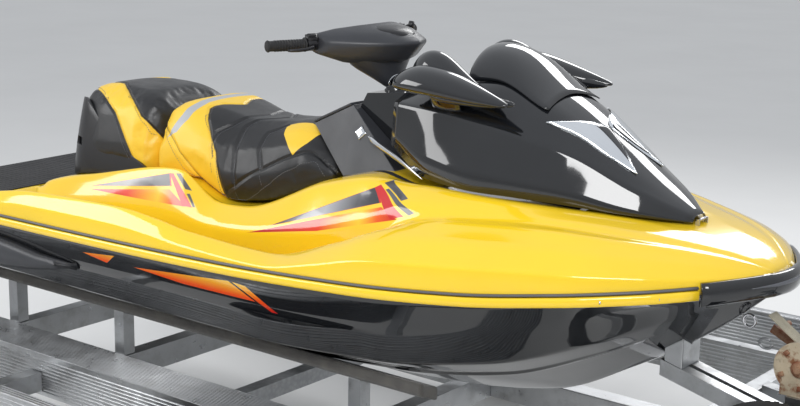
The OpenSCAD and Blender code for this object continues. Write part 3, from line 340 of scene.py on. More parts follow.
# ---- Finishes ----
class Finish:
    """A node material built up from layers on Object coordinates."""

    def __init__(self, name, colour, rough, metal=0.0, coat=0.0, sheen=0.0, glass=0.0):
        self.mat = bpy.data.materials.new(name)
        self.mat.use_nodes = True
        self.tree = self.mat.node_tree
        self.bsdf = self.tree.nodes["Principled BSDF"]
        self.bsdf.inputs["Metallic"].default_value = metal
        self.bsdf.inputs["Coat Weight"].default_value = coat
        self.bsdf.inputs["Coat Roughness"].default_value = 0.03
        self.bsdf.inputs["Sheen Weight"].default_value = sheen
        self.bsdf.inputs["Transmission Weight"].default_value = glass
        self.place = self.node("ShaderNodeTexCoord").outputs["Object"]
        self.colour = self.rgb(colour)
        self.rough = rough
        self.height = None

    def node(self, kind, **sets):
        n = self.tree.nodes.new(kind)
        for k, v in sets.items():
            setattr(n, k, v)
        return n

    def link(self, a, b):
        if isinstance(a, bpy.types.NodeSocket):
            self.tree.links.new(a, b)
        else:
            b.default_value = a

    def rgb(self, c):
        n = self.node("ShaderNodeRGB")
        n.outputs[0].default_value = (*c[:3], 1)
        return n.outputs[0]

    def math(self, op, a, b=0.0, c=0.0, clamp=False):
        n = self.node("ShaderNodeMath", operation=op, use_clamp=clamp)
        for k, v in enumerate((a, b, c)):
            self.link(v, n.inputs[k])
        return n.outputs[0]

    def axes(self):
        """Station, distance from the craft's centreline and height, in metres."""
        n = self.node("ShaderNodeSeparateXYZ")
        self.link(self.place, n.inputs[0])
        x = self.math("SUBTRACT", n.outputs[0], ORIGIN.x)
        y = self.math("ABSOLUTE", self.math("SUBTRACT", n.outputs[1], ORIGIN.y))
        return x, y, self.math("SUBTRACT", n.outputs[2], ORIGIN.z)

    def noise(self, scale, detail=3.0, rough=0.55, stretch=(1, 1, 1)):
        m = self.node("ShaderNodeMapping")
        m.inputs["Scale"].default_value = stretch
        self.link(self.place, m.inputs["Vector"])
        n = self.node("ShaderNodeTexNoise")
        self.link(m.outputs[0], n.inputs["Vector"])
        n.inputs["Scale"].default_value = scale
        n.inputs["Detail"].default_value = detail
        n.inputs["Roughness"].default_value = rough
        return n.outputs[0]

    def span(self, value, a, b, low=0.0, high=1.0):
        n = self.node("ShaderNodeMapRange")
        n.inputs["From Min"].default_value = a
        n.inputs["From Max"].default_value = b
        n.inputs["To Min"].default_value = low
        n.inputs["To Max"].default_value = high
        self.link(value, n.inputs["Value"])
        return n.outputs[0]

    def lay(self, colour, mask):
        """Paints a colour over what is there where the mask is 1."""
        n = self.node("ShaderNodeMix", data_type="RGBA")
        self.link(mask, n.inputs["Factor"])
        self.link(self.colour, n.inputs["A"])
        if isinstance(colour, tuple):
            n.inputs["B"].default_value = (*colour[:3], 1)
        else:
            self.link(colour, n.inputs["B"])
        self.colour = n.outputs["Result"]
        return self

    def vary(self, scale=4.0, amount=0.12, stretch=(1, 1, 1)):
        """Cloudy change of brightness."""
        n = self.node("ShaderNodeHueSaturation")
        self.link(self.span(self.noise(scale, 4, 0.6, stretch), 0.3, 0.7, 1 - amount, 1 + amount),
                  n.inputs["Value"])
        self.link(self.colour, n.inputs["Color"])
        self.colour = n.outputs[0]
        return self

    def raise_by(self, value, depth):
        self.height = self.math("MULTIPLY_ADD", value, depth, self.height if self.height else 0.0)
        return self

    def grain(self, scale, depth, stretch=(1, 1, 1), detail=2.0):
        return self.raise_by(self.noise(scale, detail, 0.6, stretch), depth)

    def spots(self, colour, scale, low, high, amount=1.0, stretch=(1, 1, 1)):
        """Patches such as rust, dirt or dust."""
        return self.lay(colour, self.math("MULTIPLY", self.span(self.noise(scale, 6, 0.7, stretch), low, high),
                                          amount))

    def gradient(self, value, stops):
        n = self.node("ShaderNodeValToRGB")
        ramp = n.color_ramp
        while len(ramp.elements) < len(stops):
            ramp.elements.new(0.5)
        for e, (t, c) in zip(ramp.elements, stops):
            e.position = t
            e.color = (*c[:3], 1)
        self.link(value, n.inputs[0])
        return n.outputs[0]

    def inside(self, corners, across, up, soft=1.0):
        """1 inside a convex outline of stations and heights in millimetres."""
        pts = [Vector(p) / 1000 for p in corners]
        area = sum(a.x * b.y - b.x * a.y for a, b in zip(pts, pts[1:] + pts[:1]))
        if area < 0:
            pts.reverse()
        least = None
        for a, b in zip(pts, pts[1:] + pts[:1]):
            d = (b - a).normalized()
            n = Vector((-d.y, d.x))
            v = self.math("MULTIPLY_ADD", across, n.x, -n.dot(a))
            v = self.math("MULTIPLY_ADD", up, n.y, v)
            least = v if least is None else self.math("MINIMUM", least, v)
        return self.math("MULTIPLY_ADD", least, 1000 / soft, 0.5, clamp=True)

    def attribute(self, name):
        return self.node("ShaderNodeAttribute", attribute_name=name).outputs["Fac"]

    def done(self, bump=1.0, rough_spread=0.06, rough_scale=9.0):
        self.link(self.colour, self.bsdf.inputs["Base Color"])
        low, high = max(0.01, self.rough - rough_spread), min(1, self.rough + rough_spread)
        self.link(self.span(self.noise(rough_scale, 4), 0.3, 0.7, low, high), self.bsdf.inputs["Roughness"])
        if self.height:
            b = self.node("ShaderNodeBump")
            b.inputs["Strength"].default_value = bump
            b.inputs["Distance"].default_value = 1.0
            self.link(self.height, b.inputs["Height"])
            self.link(b.outputs[0], self.bsdf.inputs["Normal"])
        return self.mat


def gelcoat_black(name="gelcoat_black", colour=(0.008, 0.009, 0.011)):
    f = Finish(name, colour, 0.06, coat=0.7)
    return f.vary(3, 0.25).spots((0.05, 0.047, 0.042), 40, 0.66, 0.8, 0.35).grain(2.2, 0.0012).done(0.35, 0.03, 5)


def flash_on_hull(f, x, y, z):
    """A tapered flash of red and amber low on each side of the hull."""
    side = f.math("GREATER_THAN", y, 0.5)
    fire = f.gradient(f.span(z, 0.33, 0.405), [(0, (0.55, 0.01, 0.01)), (0.45, (0.85, 0.09, 0.01)),
                                               (1, (0.95, 0.55, 0.03))])
    for corners in (((1010, 374), (1180, 392), (1130, 357)), ((1090, 352), (1720, 408), (1865, 332), (1500, 354)),
                    ((1735, 408), (1790, 404), (1905, 330), (1880, 330))):
        f.lay(fire, f.math("MULTIPLY", side, f.inside(corners, x, z)))
    return f


def hull_finish():
    f = Finish("hull_black", (0.008, 0.009, 0.011), 0.06, coat=0.7)
    f.vary(3, 0.25).spots((0.05, 0.047, 0.042), 40, 0.66, 0.8, 0.35)
    return flash_on_hull(f, *f.axes()).grain(2.2, 0.0012).done(0.35, 0.03, 5)


# Decal outlines, as station and height: dark fade, hot wedge, hot bar and the blocks ahead of it
REAR_DECAL = {"fade": ((762, 529), (1150, 627), (1168, 588)), "hot": ((748, 515), (1168, 576), (1262, 531)),
              "bar": ((1152, 628), (1170, 630), (1290, 532), (1245, 532)),
              "blocks": (((1182, 632), (1204, 634), (1268, 584), (1240, 586)),
                         ((1250, 572), (1262, 574), (1302, 534), (1292, 533)))}
FRONT_DECAL = {"fade": ((1690, 541), (2092, 720), (2142, 686)),
               "hot": ((1585, 500), (2160, 678), (2238, 655), (1900, 560)),
               "bar": ((2094, 722), (2112, 732), (2262, 668), (2212, 652)),
               "blocks": (((2122, 738), (2146, 748), (2254, 716), (2232, 707)),
                          ((2140, 722), (2152, 727), (2300, 684), (2282, 674)))}


def deck_finish(colour):
    f = Finish("deck_yellow", colour, 0.12, coat=0.6)
    f.vary(1.6, 0.035).spots((0.62, 0.4, 0.03), 26, 0.7, 0.86, 0.3)
    x, y, z = f.axes()
    panel = f.math("MULTIPLY", f.math("GREATER_THAN", y, 0.29), f.math("LESS_THAN", y, 0.42))
    for decal, start, end in ((REAR_DECAL, 0.76, 1.16), (FRONT_DECAL, 1.69, 2.13)):
        fade = f.gradient(f.span(x, start, end), [(0, (0.04, 0.04, 0.045)), (0.5, (0.42, 0.43, 0.46)),
                                                  (0.8, (0.06, 0.06, 0.07)), (1, (0.03, 0.03, 0.035))])
        hot = f.gradient(f.span(x, start, end + 0.1), [(0, (0.5, 0.01, 0.01)), (0.4, (0.8, 0.05, 0.01)),
                                                       (0.72, (0.96, 0.62, 0.03)), (0.86, (0.85, 0.12, 0.01)),
                                                       (1, (0.6, 0.01, 0.01))])
        f.lay(hot, f.math("MULTIPLY", panel, f.inside(decal["hot"], x, z)))
        f.lay((0.62, 0.012, 0.012), f.math("MULTIPLY", panel, f.inside(decal["bar"], x, z)))
        wide = [Vector(p) + (Vector(p) - sum((Vector(q) for q in decal["fade"]),
                                             Vector((0, 0))) / 3) * 0.05 for p in decal["fade"]]
        f.lay((0.6, 0.012, 0.012), f.math("MULTIPLY", panel, f.inside(wide, x, z)))
        f.lay(fade, f.math("MULTIPLY", panel, f.inside(decal["fade"], x, z)))
        for corners in decal["blocks"]:
            f.lay((0.1, 0.1, 0.11), f.math("MULTIPLY", panel, f.inside(corners, x, z)))
    return f.grain(1.7, 0.0015).done(0.3, 0.03, 6)


def moulding(name, colour, rough=0.42, scale=420, depth=0.00025):
    f = Finish(name, colour, rough)
    return f.vary(6, 0.12).spots(tuple(min(1, c * 2.2 + 0.01) for c in colour), 60, 0.62, 0.8, 0.25).grain(scale,
            depth).done(0.8)


def metal(name, colour, rough, scale=140, stretch=(0.04, 1, 1), stain=(0.1, 0.09, 0.08), stain_amount=0.35,
          depth=0.0003):
    f = Finish(name, colour, rough, metal=1.0)
    f.vary(5, 0.1).spots(stain, 14, 0.5, 0.75, stain_amount).spots(stain, 90, 0.62, 0.72, stain_amount)
    return f.grain(scale, depth, stretch).done(0.6, 0.1, 22)


def seat_finish(yellow, silver):
    f = Finish("seat_vinyl", (0.012, 0.0125, 0.014), 0.4, coat=0.08)
    f.vary(9, 0.15)
    stripe = f.math("MULTIPLY_ADD", f.attribute("stripe"), 900, 0.5, clamp=True)
    patch = f.math("MULTIPLY_ADD", f.attribute("panel"), 900, 0.5, clamp=True)
    f.lay(tuple(yellow), patch).lay(tuple(silver), stripe)
    # Painted shade: near-black darkening along the seam grooves, on top of their bump
    seam = f.math("ABSOLUTE", f.attribute("seam"))
    f.lay((0.006, 0.006, 0.007), f.span(seam, 0.0012, 0.003, 0.75, 0))
    f.raise_by(f.span(seam, 0.0, 0.005), 0.003)
    c = f.node("ShaderNodeTexVoronoi", feature="DISTANCE_TO_EDGE")
    c.inputs["Scale"].default_value = 330
    f.link(f.place, c.inputs["Vector"])
    return f.raise_by(c.outputs["Distance"], 0.0006).done(0.5, 0.08, 12)


def rubber(name, colour=(0.018, 0.018, 0.019), ribs=0.0, rough=0.75):
    f = Finish(name, colour, rough)
    f.vary(8, 0.2).spots((0.09, 0.085, 0.075), 30, 0.55, 0.8, 0.4)
    if ribs:
        f.raise_by(f.math("PINGPONG", f.axes()[1], ribs), 0.6)
    return f.grain(500, 0.0004).done(0.9)


def galvanised():
    f = Finish("galvanised_steel", (0.42, 0.43, 0.44), 0.42, metal=1.0)
    c = f.node("ShaderNodeTexVoronoi")
    c.inputs["Scale"].default_value = 55
    f.link(f.place, c.inputs["Vector"])
    f.lay((0.3, 0.31, 0.325), f.span(c.outputs["Distance"], 0.2, 0.7, 0, 0.6))
    return f.spots((0.2, 0.09, 0.04), 12, 0.62, 0.8, 0.6).grain(60, 0.0006).done(0.7, 0.12)


def rusted(name, paint, rust, share):
    f = Finish(name, paint, 0.55, metal=0.25)
    f.vary(12, 0.2).spots(rust, 22, 0.62 - share, 0.7 - share * 0.6, 0.95).spots((0.07, 0.035, 0.02), 60, 0.6, 0.75,
            0.7)
    return f.grain(70, 0.0012, detail=6).done(0.9, 0.15)


def carpet():
    f = Finish("bunk_carpet", (0.075, 0.07, 0.062), 0.95, sheen=0.4)
    return f.vary(30, 0.3).spots((0.2, 0.18, 0.14), 10, 0.5, 0.8, 0.5).grain(700, 0.002, detail=4).done(1.0)


def webbing():
    f = Finish("strap_webbing", (0.4, 0.36, 0.26), 0.85, sheen=0.2)
    x, y, _ = f.axes()
    f.vary(16, 0.2).raise_by(f.math("PINGPONG", f.math("ADD", x, y), 0.0015), 0.5)
    return f.spots((0.14, 0.11, 0.07), 18, 0.5, 0.75, 0.5).grain(300, 0.0005).done(1.0)


def chrome(name="polished_chrome", colour=(0.78, 0.8, 0.82), rough=0.07):
    f = Finish(name, colour, rough, metal=1.0)
    return f.vary(7, 0.06).grain(12, 0.0006).done(0.3, 0.03)


def lens(name, colour, rough=0.05):
    f = Finish(name, colour, rough, coat=0.5, glass=0.15)
    return f.vary(14, 0.1).raise_by(f.math("PINGPONG", f.axes()[2], 0.004), 0.25).done(0.5, 0.02)


FINISHES = {}


def finish(name):
    if name not in FINISHES:
        look = bpy.context.scene.watercraft_look
        makers = {
            "hull_black": hull_finish, "deck_yellow": lambda: deck_finish(look.deck_colour),
            "fairing_black": lambda: gelcoat_black("fairing_black"),
            "trim_grey": lambda: moulding("trim_grey", (0.11, 0.115, 0.13), 0.35),
            "moulding_grey": lambda: moulding("moulding_grey", (0.035, 0.037, 0.043), 0.4),
            "handle_black": lambda: moulding("handle_black", (0.012, 0.012, 0.014), 0.33),
            "shadow": lambda: moulding("shadow_black", (0.006, 0.006, 0.006), 0.8),
            "mat_black": lambda: rubber("mat_black", (0.02, 0.02, 0.022), 0.012),
            "seat_vinyl": lambda: seat_finish(look.seat_colour, look.stripe_colour),
            "grip_rubber": lambda: rubber("grip_rubber"),
            "engine_grey": lambda: metal("engine_grey", (0.16, 0.16, 0.17), 0.6),
            "stainless": lambda: metal("stainless", (0.62, 0.62, 0.64), 0.2, stain_amount=0.1),
            "lens_silver": lambda: chrome("lens_silver", (0.8, 0.83, 0.86), 0.06),
            "chrome": chrome, "pump_aluminium": lambda: metal("pump_aluminium", (0.5, 0.51, 0.53), 0.38,
                                                              stretch=(1, 1, 1)),
            "trailer_aluminium": lambda: metal("trailer_aluminium", (0.46, 0.47, 0.48), 0.36,
                                               stain=(0.16, 0.14, 0.12)),
            "galvanised_steel": galvanised, "bunk_carpet": carpet,
            "rim_white": lambda: rusted("rim_white", (0.62, 0.62, 0.6), (0.25, 0.1, 0.04), 0.0),
            "tyre_rubber": lambda: rubber("tyre_rubber"),
            "winch_tan": lambda: rusted("winch_tan", (0.5, 0.42, 0.3), (0.24, 0.09, 0.035), 0.1),
            "winch_rust": lambda: rusted("winch_rust", (0.33, 0.2, 0.12), (0.2, 0.06, 0.025), 0.2),
            "strap_webbing": webbing, "lens_red": lambda: lens("lens_red", (0.45, 0.01, 0.012)),
            "lens_amber": lambda: lens("lens_amber", (0.75, 0.25, 0.02)),
            "mirror_glass": lambda: chrome("mirror_glass", (0.7, 0.72, 0.74), 0.02)}
        FINISHES[name] = makers[name]()
    return FINISHES[name]


# ---- Geometry Nodes ----
class Rule:
    """A Geometry Nodes tree with named inputs."""

    def __init__(self, name, inputs):
        self.tree = bpy.data.node_groups.new(name, "GeometryNodeTree")
        self.tree.interface.new_socket("Geometry", in_out="OUTPUT", socket_type="NodeSocketGeometry")
        for label, kind, default in inputs:
            s = self.tree.interface.new_socket(label, in_out="INPUT", socket_type=kind)
            if default is not None:
                s.default_value = default
        self.given = self.tree.nodes.new("NodeGroupInput").outputs
        self.end = self.tree.nodes.new("NodeGroupOutput").inputs

    def node(self, kind, links=None, **sets):
        n = self.tree.nodes.new(kind)
        for k, v in sets.items():
            setattr(n, k, v)
        for k, v in (links or {}).items():
            if isinstance(v, bpy.types.NodeSocket):
                self.tree.links.new(v, n.inputs[k])
            else:
                n.inputs[k].default_value = v
        return n

    def close(self, points, shape, turn):
        inst = self.node("GeometryNodeInstanceOnPoints", {"Points": points, "Instance": shape, "Rotation": turn})
        real = self.node("GeometryNodeRealizeInstances", {"Geometry": inst.outputs[0]})
        mat = self.node("GeometryNodeSetMaterial", {"Geometry": real.outputs[0],
                                                    "Material": self.given["Material"]})
        self.tree.links.new(mat.outputs[0], self.end[0])
        return self.tree


def rod_row_rule():
    """Rods of one size at even steps along a line: ribs, slats, bolts and grip rings."""
    r = Rule("rod_row", [("Count", "NodeSocketInt", 4), ("Start", "NodeSocketVector", None),
                         ("Step", "NodeSocketVector", None),
                         ("Turn", "NodeSocketVector", None), ("Sides", "NodeSocketInt", 6),
                         ("Radius", "NodeSocketFloat", 0.003),
                         ("Length", "NodeSocketFloat", 0.1), ("Material", "NodeSocketMaterial", None)])
    g = r.given
    line = r.node("GeometryNodeMeshLine", {"Count": g["Count"], "Start Location": g["Start"], "Offset": g["Step"]},
                  mode="OFFSET")
    rod = r.node("GeometryNodeMeshCylinder", {"Vertices": g["Sides"], "Radius": g["Radius"], "Depth": g["Length"]})
    turn = r.node("FunctionNodeEulerToRotation", {0: g["Turn"]})
    return r.close(line.outputs[0], rod.outputs["Mesh"], turn.outputs[0])


def block_ring_rule():
    """Blocks round a circle about the y axis: tread and wheel nuts."""
    r = Rule("block_ring", [("Count", "NodeSocketInt", 40), ("Centre", "NodeSocketVector", None),
                            ("Radius", "NodeSocketFloat", 0.2),
                            ("Size", "NodeSocketVector", None), ("Skew", "NodeSocketFloat", 0.0),
                            ("Start", "NodeSocketFloat", 0.0),
                            ("Material", "NodeSocketMaterial", None)])
    g = r.given
    line = r.node("GeometryNodeMeshLine", {"Count": g["Count"]}, mode="OFFSET")
    index = r.node("GeometryNodeInputIndex").outputs[0]
    share = r.node("ShaderNodeMath", {0: index, 1: g["Count"]}, operation="DIVIDE").outputs[0]
    angle = r.node("ShaderNodeMath", {0: share, 1: 2 * math.pi, 2: g["Start"]}, operation="MULTIPLY_ADD").outputs[0]
    sin = r.node("ShaderNodeMath", {0: angle}, operation="SINE").outputs[0]
    cos = r.node("ShaderNodeMath", {0: angle}, operation="COSINE").outputs[0]
    out = r.node("ShaderNodeCombineXYZ", {"X": sin, "Z": cos}).outputs[0]
    spot = r.node("ShaderNodeVectorMath", {0: out, "Scale": g["Radius"]}, operation="SCALE").outputs[0]
    spot = r.node("ShaderNodeVectorMath", {0: spot, 1: g["Centre"]}, operation="ADD").outputs[0]
    placed = r.node("GeometryNodeSetPosition", {"Geometry": line.outputs[0], "Position": spot}).outputs[0]
    block = r.node("GeometryNodeMeshCube", {"Size": g["Size"]}).outputs["Mesh"]
    euler = r.node("ShaderNodeCombineXYZ", {"Y": angle, "Z": g["Skew"]}).outputs[0]
    turn = r.node("FunctionNodeEulerToRotation", {0: euler}).outputs[0]
    return r.close(placed, block, turn)


def stitch_rule():
    """Short stitches along a line that an object's edges follow."""
    r = Rule("stitch_run", [("Seam", "NodeSocketObject", None), ("Pitch", "NodeSocketFloat", 0.008),
                            ("Stitch", "NodeSocketFloat", 0.005),
                            ("Thread", "NodeSocketFloat", 0.0009), ("Material", "NodeSocketMaterial", None)])
    g = r.given
    seam = r.node("GeometryNodeObjectInfo", {"Object": g["Seam"]}).outputs["Geometry"]
    curve = r.node("GeometryNodeMeshToCurve", {"Mesh": seam}).outputs[0]
    points = r.node("GeometryNodeCurveToPoints", {"Curve": curve, "Length": g["Pitch"]}, mode="LENGTH")
    rod = r.node("GeometryNodeMeshCylinder", {"Vertices": 5, "Radius": g["Thread"],
                                              "Depth": g["Stitch"]}).outputs["Mesh"]
    turn = r.node("FunctionNodeAlignRotationToVector", {"Vector": points.outputs["Tangent"]}, axis="Z").outputs[0]
    return r.close(points.outputs[0], rod, turn)


RULES = {}


def grown(name, rule, values):
    """Mesh object that a rule makes from named values."""
    makers = {"rod_row": rod_row_rule, "block_ring": block_ring_rule, "stitch_run": stitch_rule}
    if rule not in RULES:
        RULES[rule] = makers[rule]()
    group = RULES[rule]
    host = thing(name, bpy.data.meshes.new(name + "_host"))
    mod = host.modifiers.new("Rule", "NODES")
    mod.node_group = group
    names = {s.name: s.identifier for s in group.interface.items_tree if s.in_out == "INPUT"}
    for key, value in values.items():
        mod[names[key]] = value
    host.update_tag()
    bpy.context.view_layer.update()
    mesh = bpy.data.meshes.new_from_object(host.evaluated_get(bpy.context.evaluated_depsgraph_get()))
    if not mesh.polygons:
        raise RuntimeError(f"{name}: the rule made no faces")
    host.modifiers.remove(mod)
    bpy.data.objects.remove(host)
    return thing(name, mesh, False)


def rods(name, count, start, step, turn, sides, radius, length, material):
    return grown(name, "rod_row", {"Count": count, "Start": start, "Step": step, "Turn": turn, "Sides": sides,
                                   "Radius": radius, "Length": length, "Material": finish(material)})


def blocks(name, count, centre, radius, size, skew, start, material):
    return grown(name, "block_ring", {"Count": count, "Centre": centre, "Radius": radius, "Size": size,
                                      "Skew": skew, "Start": start, "Material": finish(material)})


# ---- Hull and deck ----
def section(half, radii, s, **more):
    return [at(s, y, h) for y, h in eased(whole(half), radii + radii[-2::-1], **more)]


def make_shells(look):
    rows = [section(hull_half(s), [0, 22, 14, 4, 3, 4, 0, 12], s) for s in stations(HULL, 28)]

    def keep_hull(r, i, j):
        quad = (r[i][j], r[i][j + 1], r[i + 1][j])
        mid = (r[i][j] + r[i + 1][j + 1]) / 2 - ORIGIN
        return not (0.33 < mid.x < 0.70 and all(abs(q.y - ORIGIN.y) < 0.1055 for q in quad))
    hull = wall(skin("hull_shell", rows, keep_hull, at(1600, 0, 600)), 0.005)
    give(hull, "hull_black", ["hull"])
    rows = [section(deck_half(s), [0, 8, 30, 34, 20, 18, 26, 20, 10, 26], s) for s in stations(DECK, 26)]

    def keep_deck(r, i, j):
        mid = (r[i][j] + r[i + 1][j + 1]) / 2 - ORIGIN
        return not (2.3 < mid.x < 2.75 and abs(mid.y) < 0.2045)
    deck = wall(skin("deck_shell", rows, keep_deck, at(1600, 0, 100)), 0.005)
    give(deck, "deck_yellow", ["deck"])
    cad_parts["transom"].data.materials[0] = finish("hull_black")


def rim_path(stations_list):
    return [at(s, *gunwale(s)) for s in stations_list]


def swept(name, path, profile):
    """Closed solid that carries a profile of offsets and heights along a plan curve to port."""
    rings = []
    for k, p in enumerate(path):
        d = path[min(k + 1, len(path) - 1)] - path[max(k - 1, 0)]
        n = Vector((d.y, -d.x, 0)).normalized()
        rings.append([p + n * t / 1000 + Vector((0, 0, z / 1000)) for t, z in profile])
    return loft(name, rings)


def rounded(t0, t1, z0, z1, bulge=0.35, n=6):
    """Bumper profile: flat against the hull, round outside."""
    mid, half = (z0 + z1) / 2, (z1 - z0) / 2
    out = [(t0, z0), (t0, z1)]
    for k in range(n + 1):
        a = math.pi / 2 - math.pi * k / n
        out.append((t0 + (t1 - t0) * (1 - bulge + bulge * math.cos(a)), mid + half * math.sin(a) * 0.96))
    return out


def across(p):
    """The same point on the other side of the craft."""
    return Vector((p.x, 2 * ORIGIN.y - p.y, p.z))


def mirrored(ob):
    """The same piece on both sides of the craft's centreline."""
    bm = bmesh.new()
    bm.from_mesh(ob.data)
    twin = bmesh.ops.duplicate(bm, geom=bm.verts[:] + bm.edges[:] + bm.faces[:])["geom"]
    for v in (g for g in twin if isinstance(g, bmesh.types.BMVert)):
        v.co.y = 2 * ORIGIN.y - v.co.y
    bmesh.ops.reverse_faces(bm, faces=[g for g in twin if isinstance(g, bmesh.types.BMFace)])
    bm.to_mesh(ob.data)
    bm.free()
    return ob


NOSE_CUT = 3180
POD_START, POD_LENGTH = 150, 810


def make_bumpers(look):
    side = rim_path([k * NOSE_CUT / 90 for k in range(91)])
    give(mirrored(swept("gunwale_bumper", [across(p) for p in side],
                        rounded(0.5, 16, -14, 15))), "deck_yellow", ["gunwale_bumpers"])
    groove = rounded(0.5, 9, 16.5, 24.5, 0.6)
    give(mirrored(swept("bumper_insert", [across(p) for p in side], groove)),
         "trim_grey", ["bumper_inserts"])
    half = [at(s, *gunwale(s)) for s in (3184, 3200, 3216, 3232, 3248, 3262, 3275, 3286, 3295, 3300)]
    tip = at(3311, 0, gunwale(3300)[1])
    near = [across(p) for p in half]
    path = near + [at(3309, -30, gunwale(3300)[1]), tip, at(3309, 30, gunwale(3300)[1])] + half[::-1]
    bow = swept("bow_bumper", path, rounded(0.5, 23.5, -34, 34, 0.7, 10))
    give(bow, "fairing_black", ["bow_bumper"])
    strip = path[5:-5]
    rings = []
    for k, p in enumerate(strip):
        d = strip[min(k + 1, len(strip) - 1)] - strip[max(k - 1, 0)]
        n = Vector((d.y, -d.x, 0)).normalized()
        h = 7 * math.sin(math.pi * (k + 0.35) / (len(strip) - 0.3))
        rings.append([p + n * t / 1000 + Vector((0, 0, z / 1000))
                      for t, z in ((21, 6 - h), (21, 6 + h), (24, 6 + h * 0.7), (24, 6 - h * 0.7))])
    give(loft("bow_bumper_inlay", rings), "trim_grey")
    rows = []
    for s in [POD_START + POD_LENGTH * k / 30 for k in range(31)]:
        u = (s - POD_START) / POD_LENGTH
        lo, hi = 232 + 68 * u ** 3, 330 + 22 * math.sin(math.pi * min(1, u * 1.3)) - 15 * u ** 4
        out = 44 * min(1, u * 5) ** 0.7 * (1 - u ** 5) + 4
        half = hull_half(s)
        crease = half[1]

        def side_y(h):
            a, b = (half[2], half[1]) if h < crease[1] else (half[1], half[0])
            return a[0] + (b[0] - a[0]) * (h - a[1]) / (b[1] - a[1])
        pts = [(side_y(lo) + 1, lo), (crease[0] + 1, crease[1]), (side_y(hi) + 1, hi),
               (crease[0] + out * 0.8, hi - 4),
               (crease[0] + out, hi - 18), (crease[0] + out, lo + 26), (crease[0] + out * 0.75, lo + 8)]
        rows.append([at(s, -y, h) for y, h in pts])
    give(mirrored(loft("sponson_pod", rows)), "moulding_grey", ["sponsons"])


# ---- Seats ----
def top_height(table, s):
    return flow(table, max(table[0][0], min(table[-1][0], s)))[3]


def seat_form(name, table, base_gap):
    """Crowned form of a seat, a little inside its CAD solid so that it has room to swell."""
    rings = []
    steps = stations(table, 30)
    for s in steps:
        _, b, t, h = flow(table, s)
        base = flow(DECK, s)[12] + base_gap
        end = min(1, 0.35 + min(s - steps[0], steps[-1] - s) / 45)
        b, t = (b - 6), (t - 4)
        drop = (1 - end) * 0.25 * (h - base)
        h = h - 5 - drop
        pts = [(b * 0.97, base), (b, base + 0.12 * (h - base)), (b * 0.985, base + 0.36 * (h - base)),
               (t * 0.5 + b * 0.5, base + 0.7 * (h - base)), (t, h - 24), (t * 0.72, h - 5), (t * 0.3, h - 2)]
        inset = min(1, 0.6 + end * 0.4)
        ring = [at(s, y * inset, z) for y, z in pts] + [at(s, -y * inset, z) for y, z in reversed(pts)]
        rings.append(ring)
    return loft(name, rings)


def swell(ob, voxel, cap):
    """Plumps the vinyl over its foam with pressure, no point moving further than the cap."""
    mod = ob.modifiers.new("Even", "REMESH")
    mod.mode = "VOXEL"
    mod.voxel_size = voxel
    frozen(ob)
    start = [v.co.copy() for v in ob.data.vertices]
    cloth = ob.modifiers.new("Cloth", "CLOTH")
    cloth.settings.use_pressure = True
    cloth.settings.uniform_pressure_force = 4
    cloth.settings.quality = 3
    cloth.settings.effector_weights.gravity = 0
    cloth.collision_settings.use_collision = False
    scene = bpy.context.scene
    cloth.point_cache.frame_start, cloth.point_cache.frame_end = 1, 12
    for k in range(1, 13):
        scene.frame_set(k)
    frozen(ob)
    scene.frame_set(1)
    for v, p in zip(ob.data.vertices, start):
        d = v.co - p
        if d.length > cap:
            v.co = p + d * (cap / d.length)
    mod = ob.modifiers.new("Ease", "SMOOTH")
    mod.factor, mod.iterations = 0.5, 3
    round_off(ob, 1)
    return frozen(ob)


def to_line(point, line):
    """Distance from a point to a polyline."""
    best = 9.0
    for a, b in zip(line, line[1:]):
        d = b - a
        t = max(0, min(1, (point - a).dot(d) / d.length_squared))
        best = min(best, (point - a - d * t).length)
    return best


def within(point, outline):
    """Distance to an outline, positive inside it."""
    inside = False
    for a, b in zip(outline, outline[1:] + outline[:1]):
        if (a.y > point.y) != (b.y > point.y) and point.x < a.x + (b.x - a.x) * (point.y - a.y) / (b.y - a.y):
            inside = not inside
    d = to_line(point, outline + outline[:1])
    return d if inside else -d


def flat(points):
    return [Vector(p) / 1000 for p in points]


# Outlines on the unrolled seats: station, and distance from the centreline over the crown, in millimetres
REAR_PANEL = flat([(520, 88), (600, 72), (700, 98), (830, 215), (905, 285), (990, 306), (990, 620), (900, 620),
                   (892, 470),
                   (776, 305), (640, 190), (560, 130)])
FRONT_PANEL = flat([(940, -60), (1222, -60), (1222, 10), (1187, 74), (1183, 145), (1213, 212), (1250, 268),
                    (1299, 345), (1348, 501),
                    (1360, 640), (940, 640)])
FRONT_INSERT = flat([(1522, 112), (1622, 94), (1690, 124), (1660, 215), (1619, 288), (1598, 262), (1545, 185)])
SILVER_BAND = flat([(1116, -60), (1118, 45), (1122, 138), (1103, 240), (1072, 330), (1040, 400), (1066, 352),
                    (1106, 330), (1138, 256),
                    (1155, 133), (1147, 20), (1146, -60)])
REAR_SEAMS = [flat([(470, 110), (560, 128), (640, 190), (776, 305), (892, 470), (900, 620)]),
              flat([(470, 80), (600, 72), (700, 98), (830, 215), (905, 285), (990, 306)])]
FRONT_SEAMS = [flat([(1222, 0), (1187, 74), (1183, 145), (1213, 212), (1250, 268), (1299, 345), (1348, 501)]),
               flat([(1355, 0), (1330, 90), (1305, 180), (1272, 250), (1275, 330), (1290, 372)]),
               flat([(1450, 0), (1415, 50), (1378, 90), (1358, 150), (1361, 202), (1373, 281), (1403, 450)]),
               flat([(1522, 112), (1498, 138), (1468, 168), (1466, 205), (1477, 285), (1505, 363)]),
               flat([(1365, 470), (1403, 450), (1496, 373), (1624, 288), (1700, 240), (1800, 210)]),
               flat([(985, 210), (1039, 300), (1136, 412), (1196, 446), (1346, 520)])]


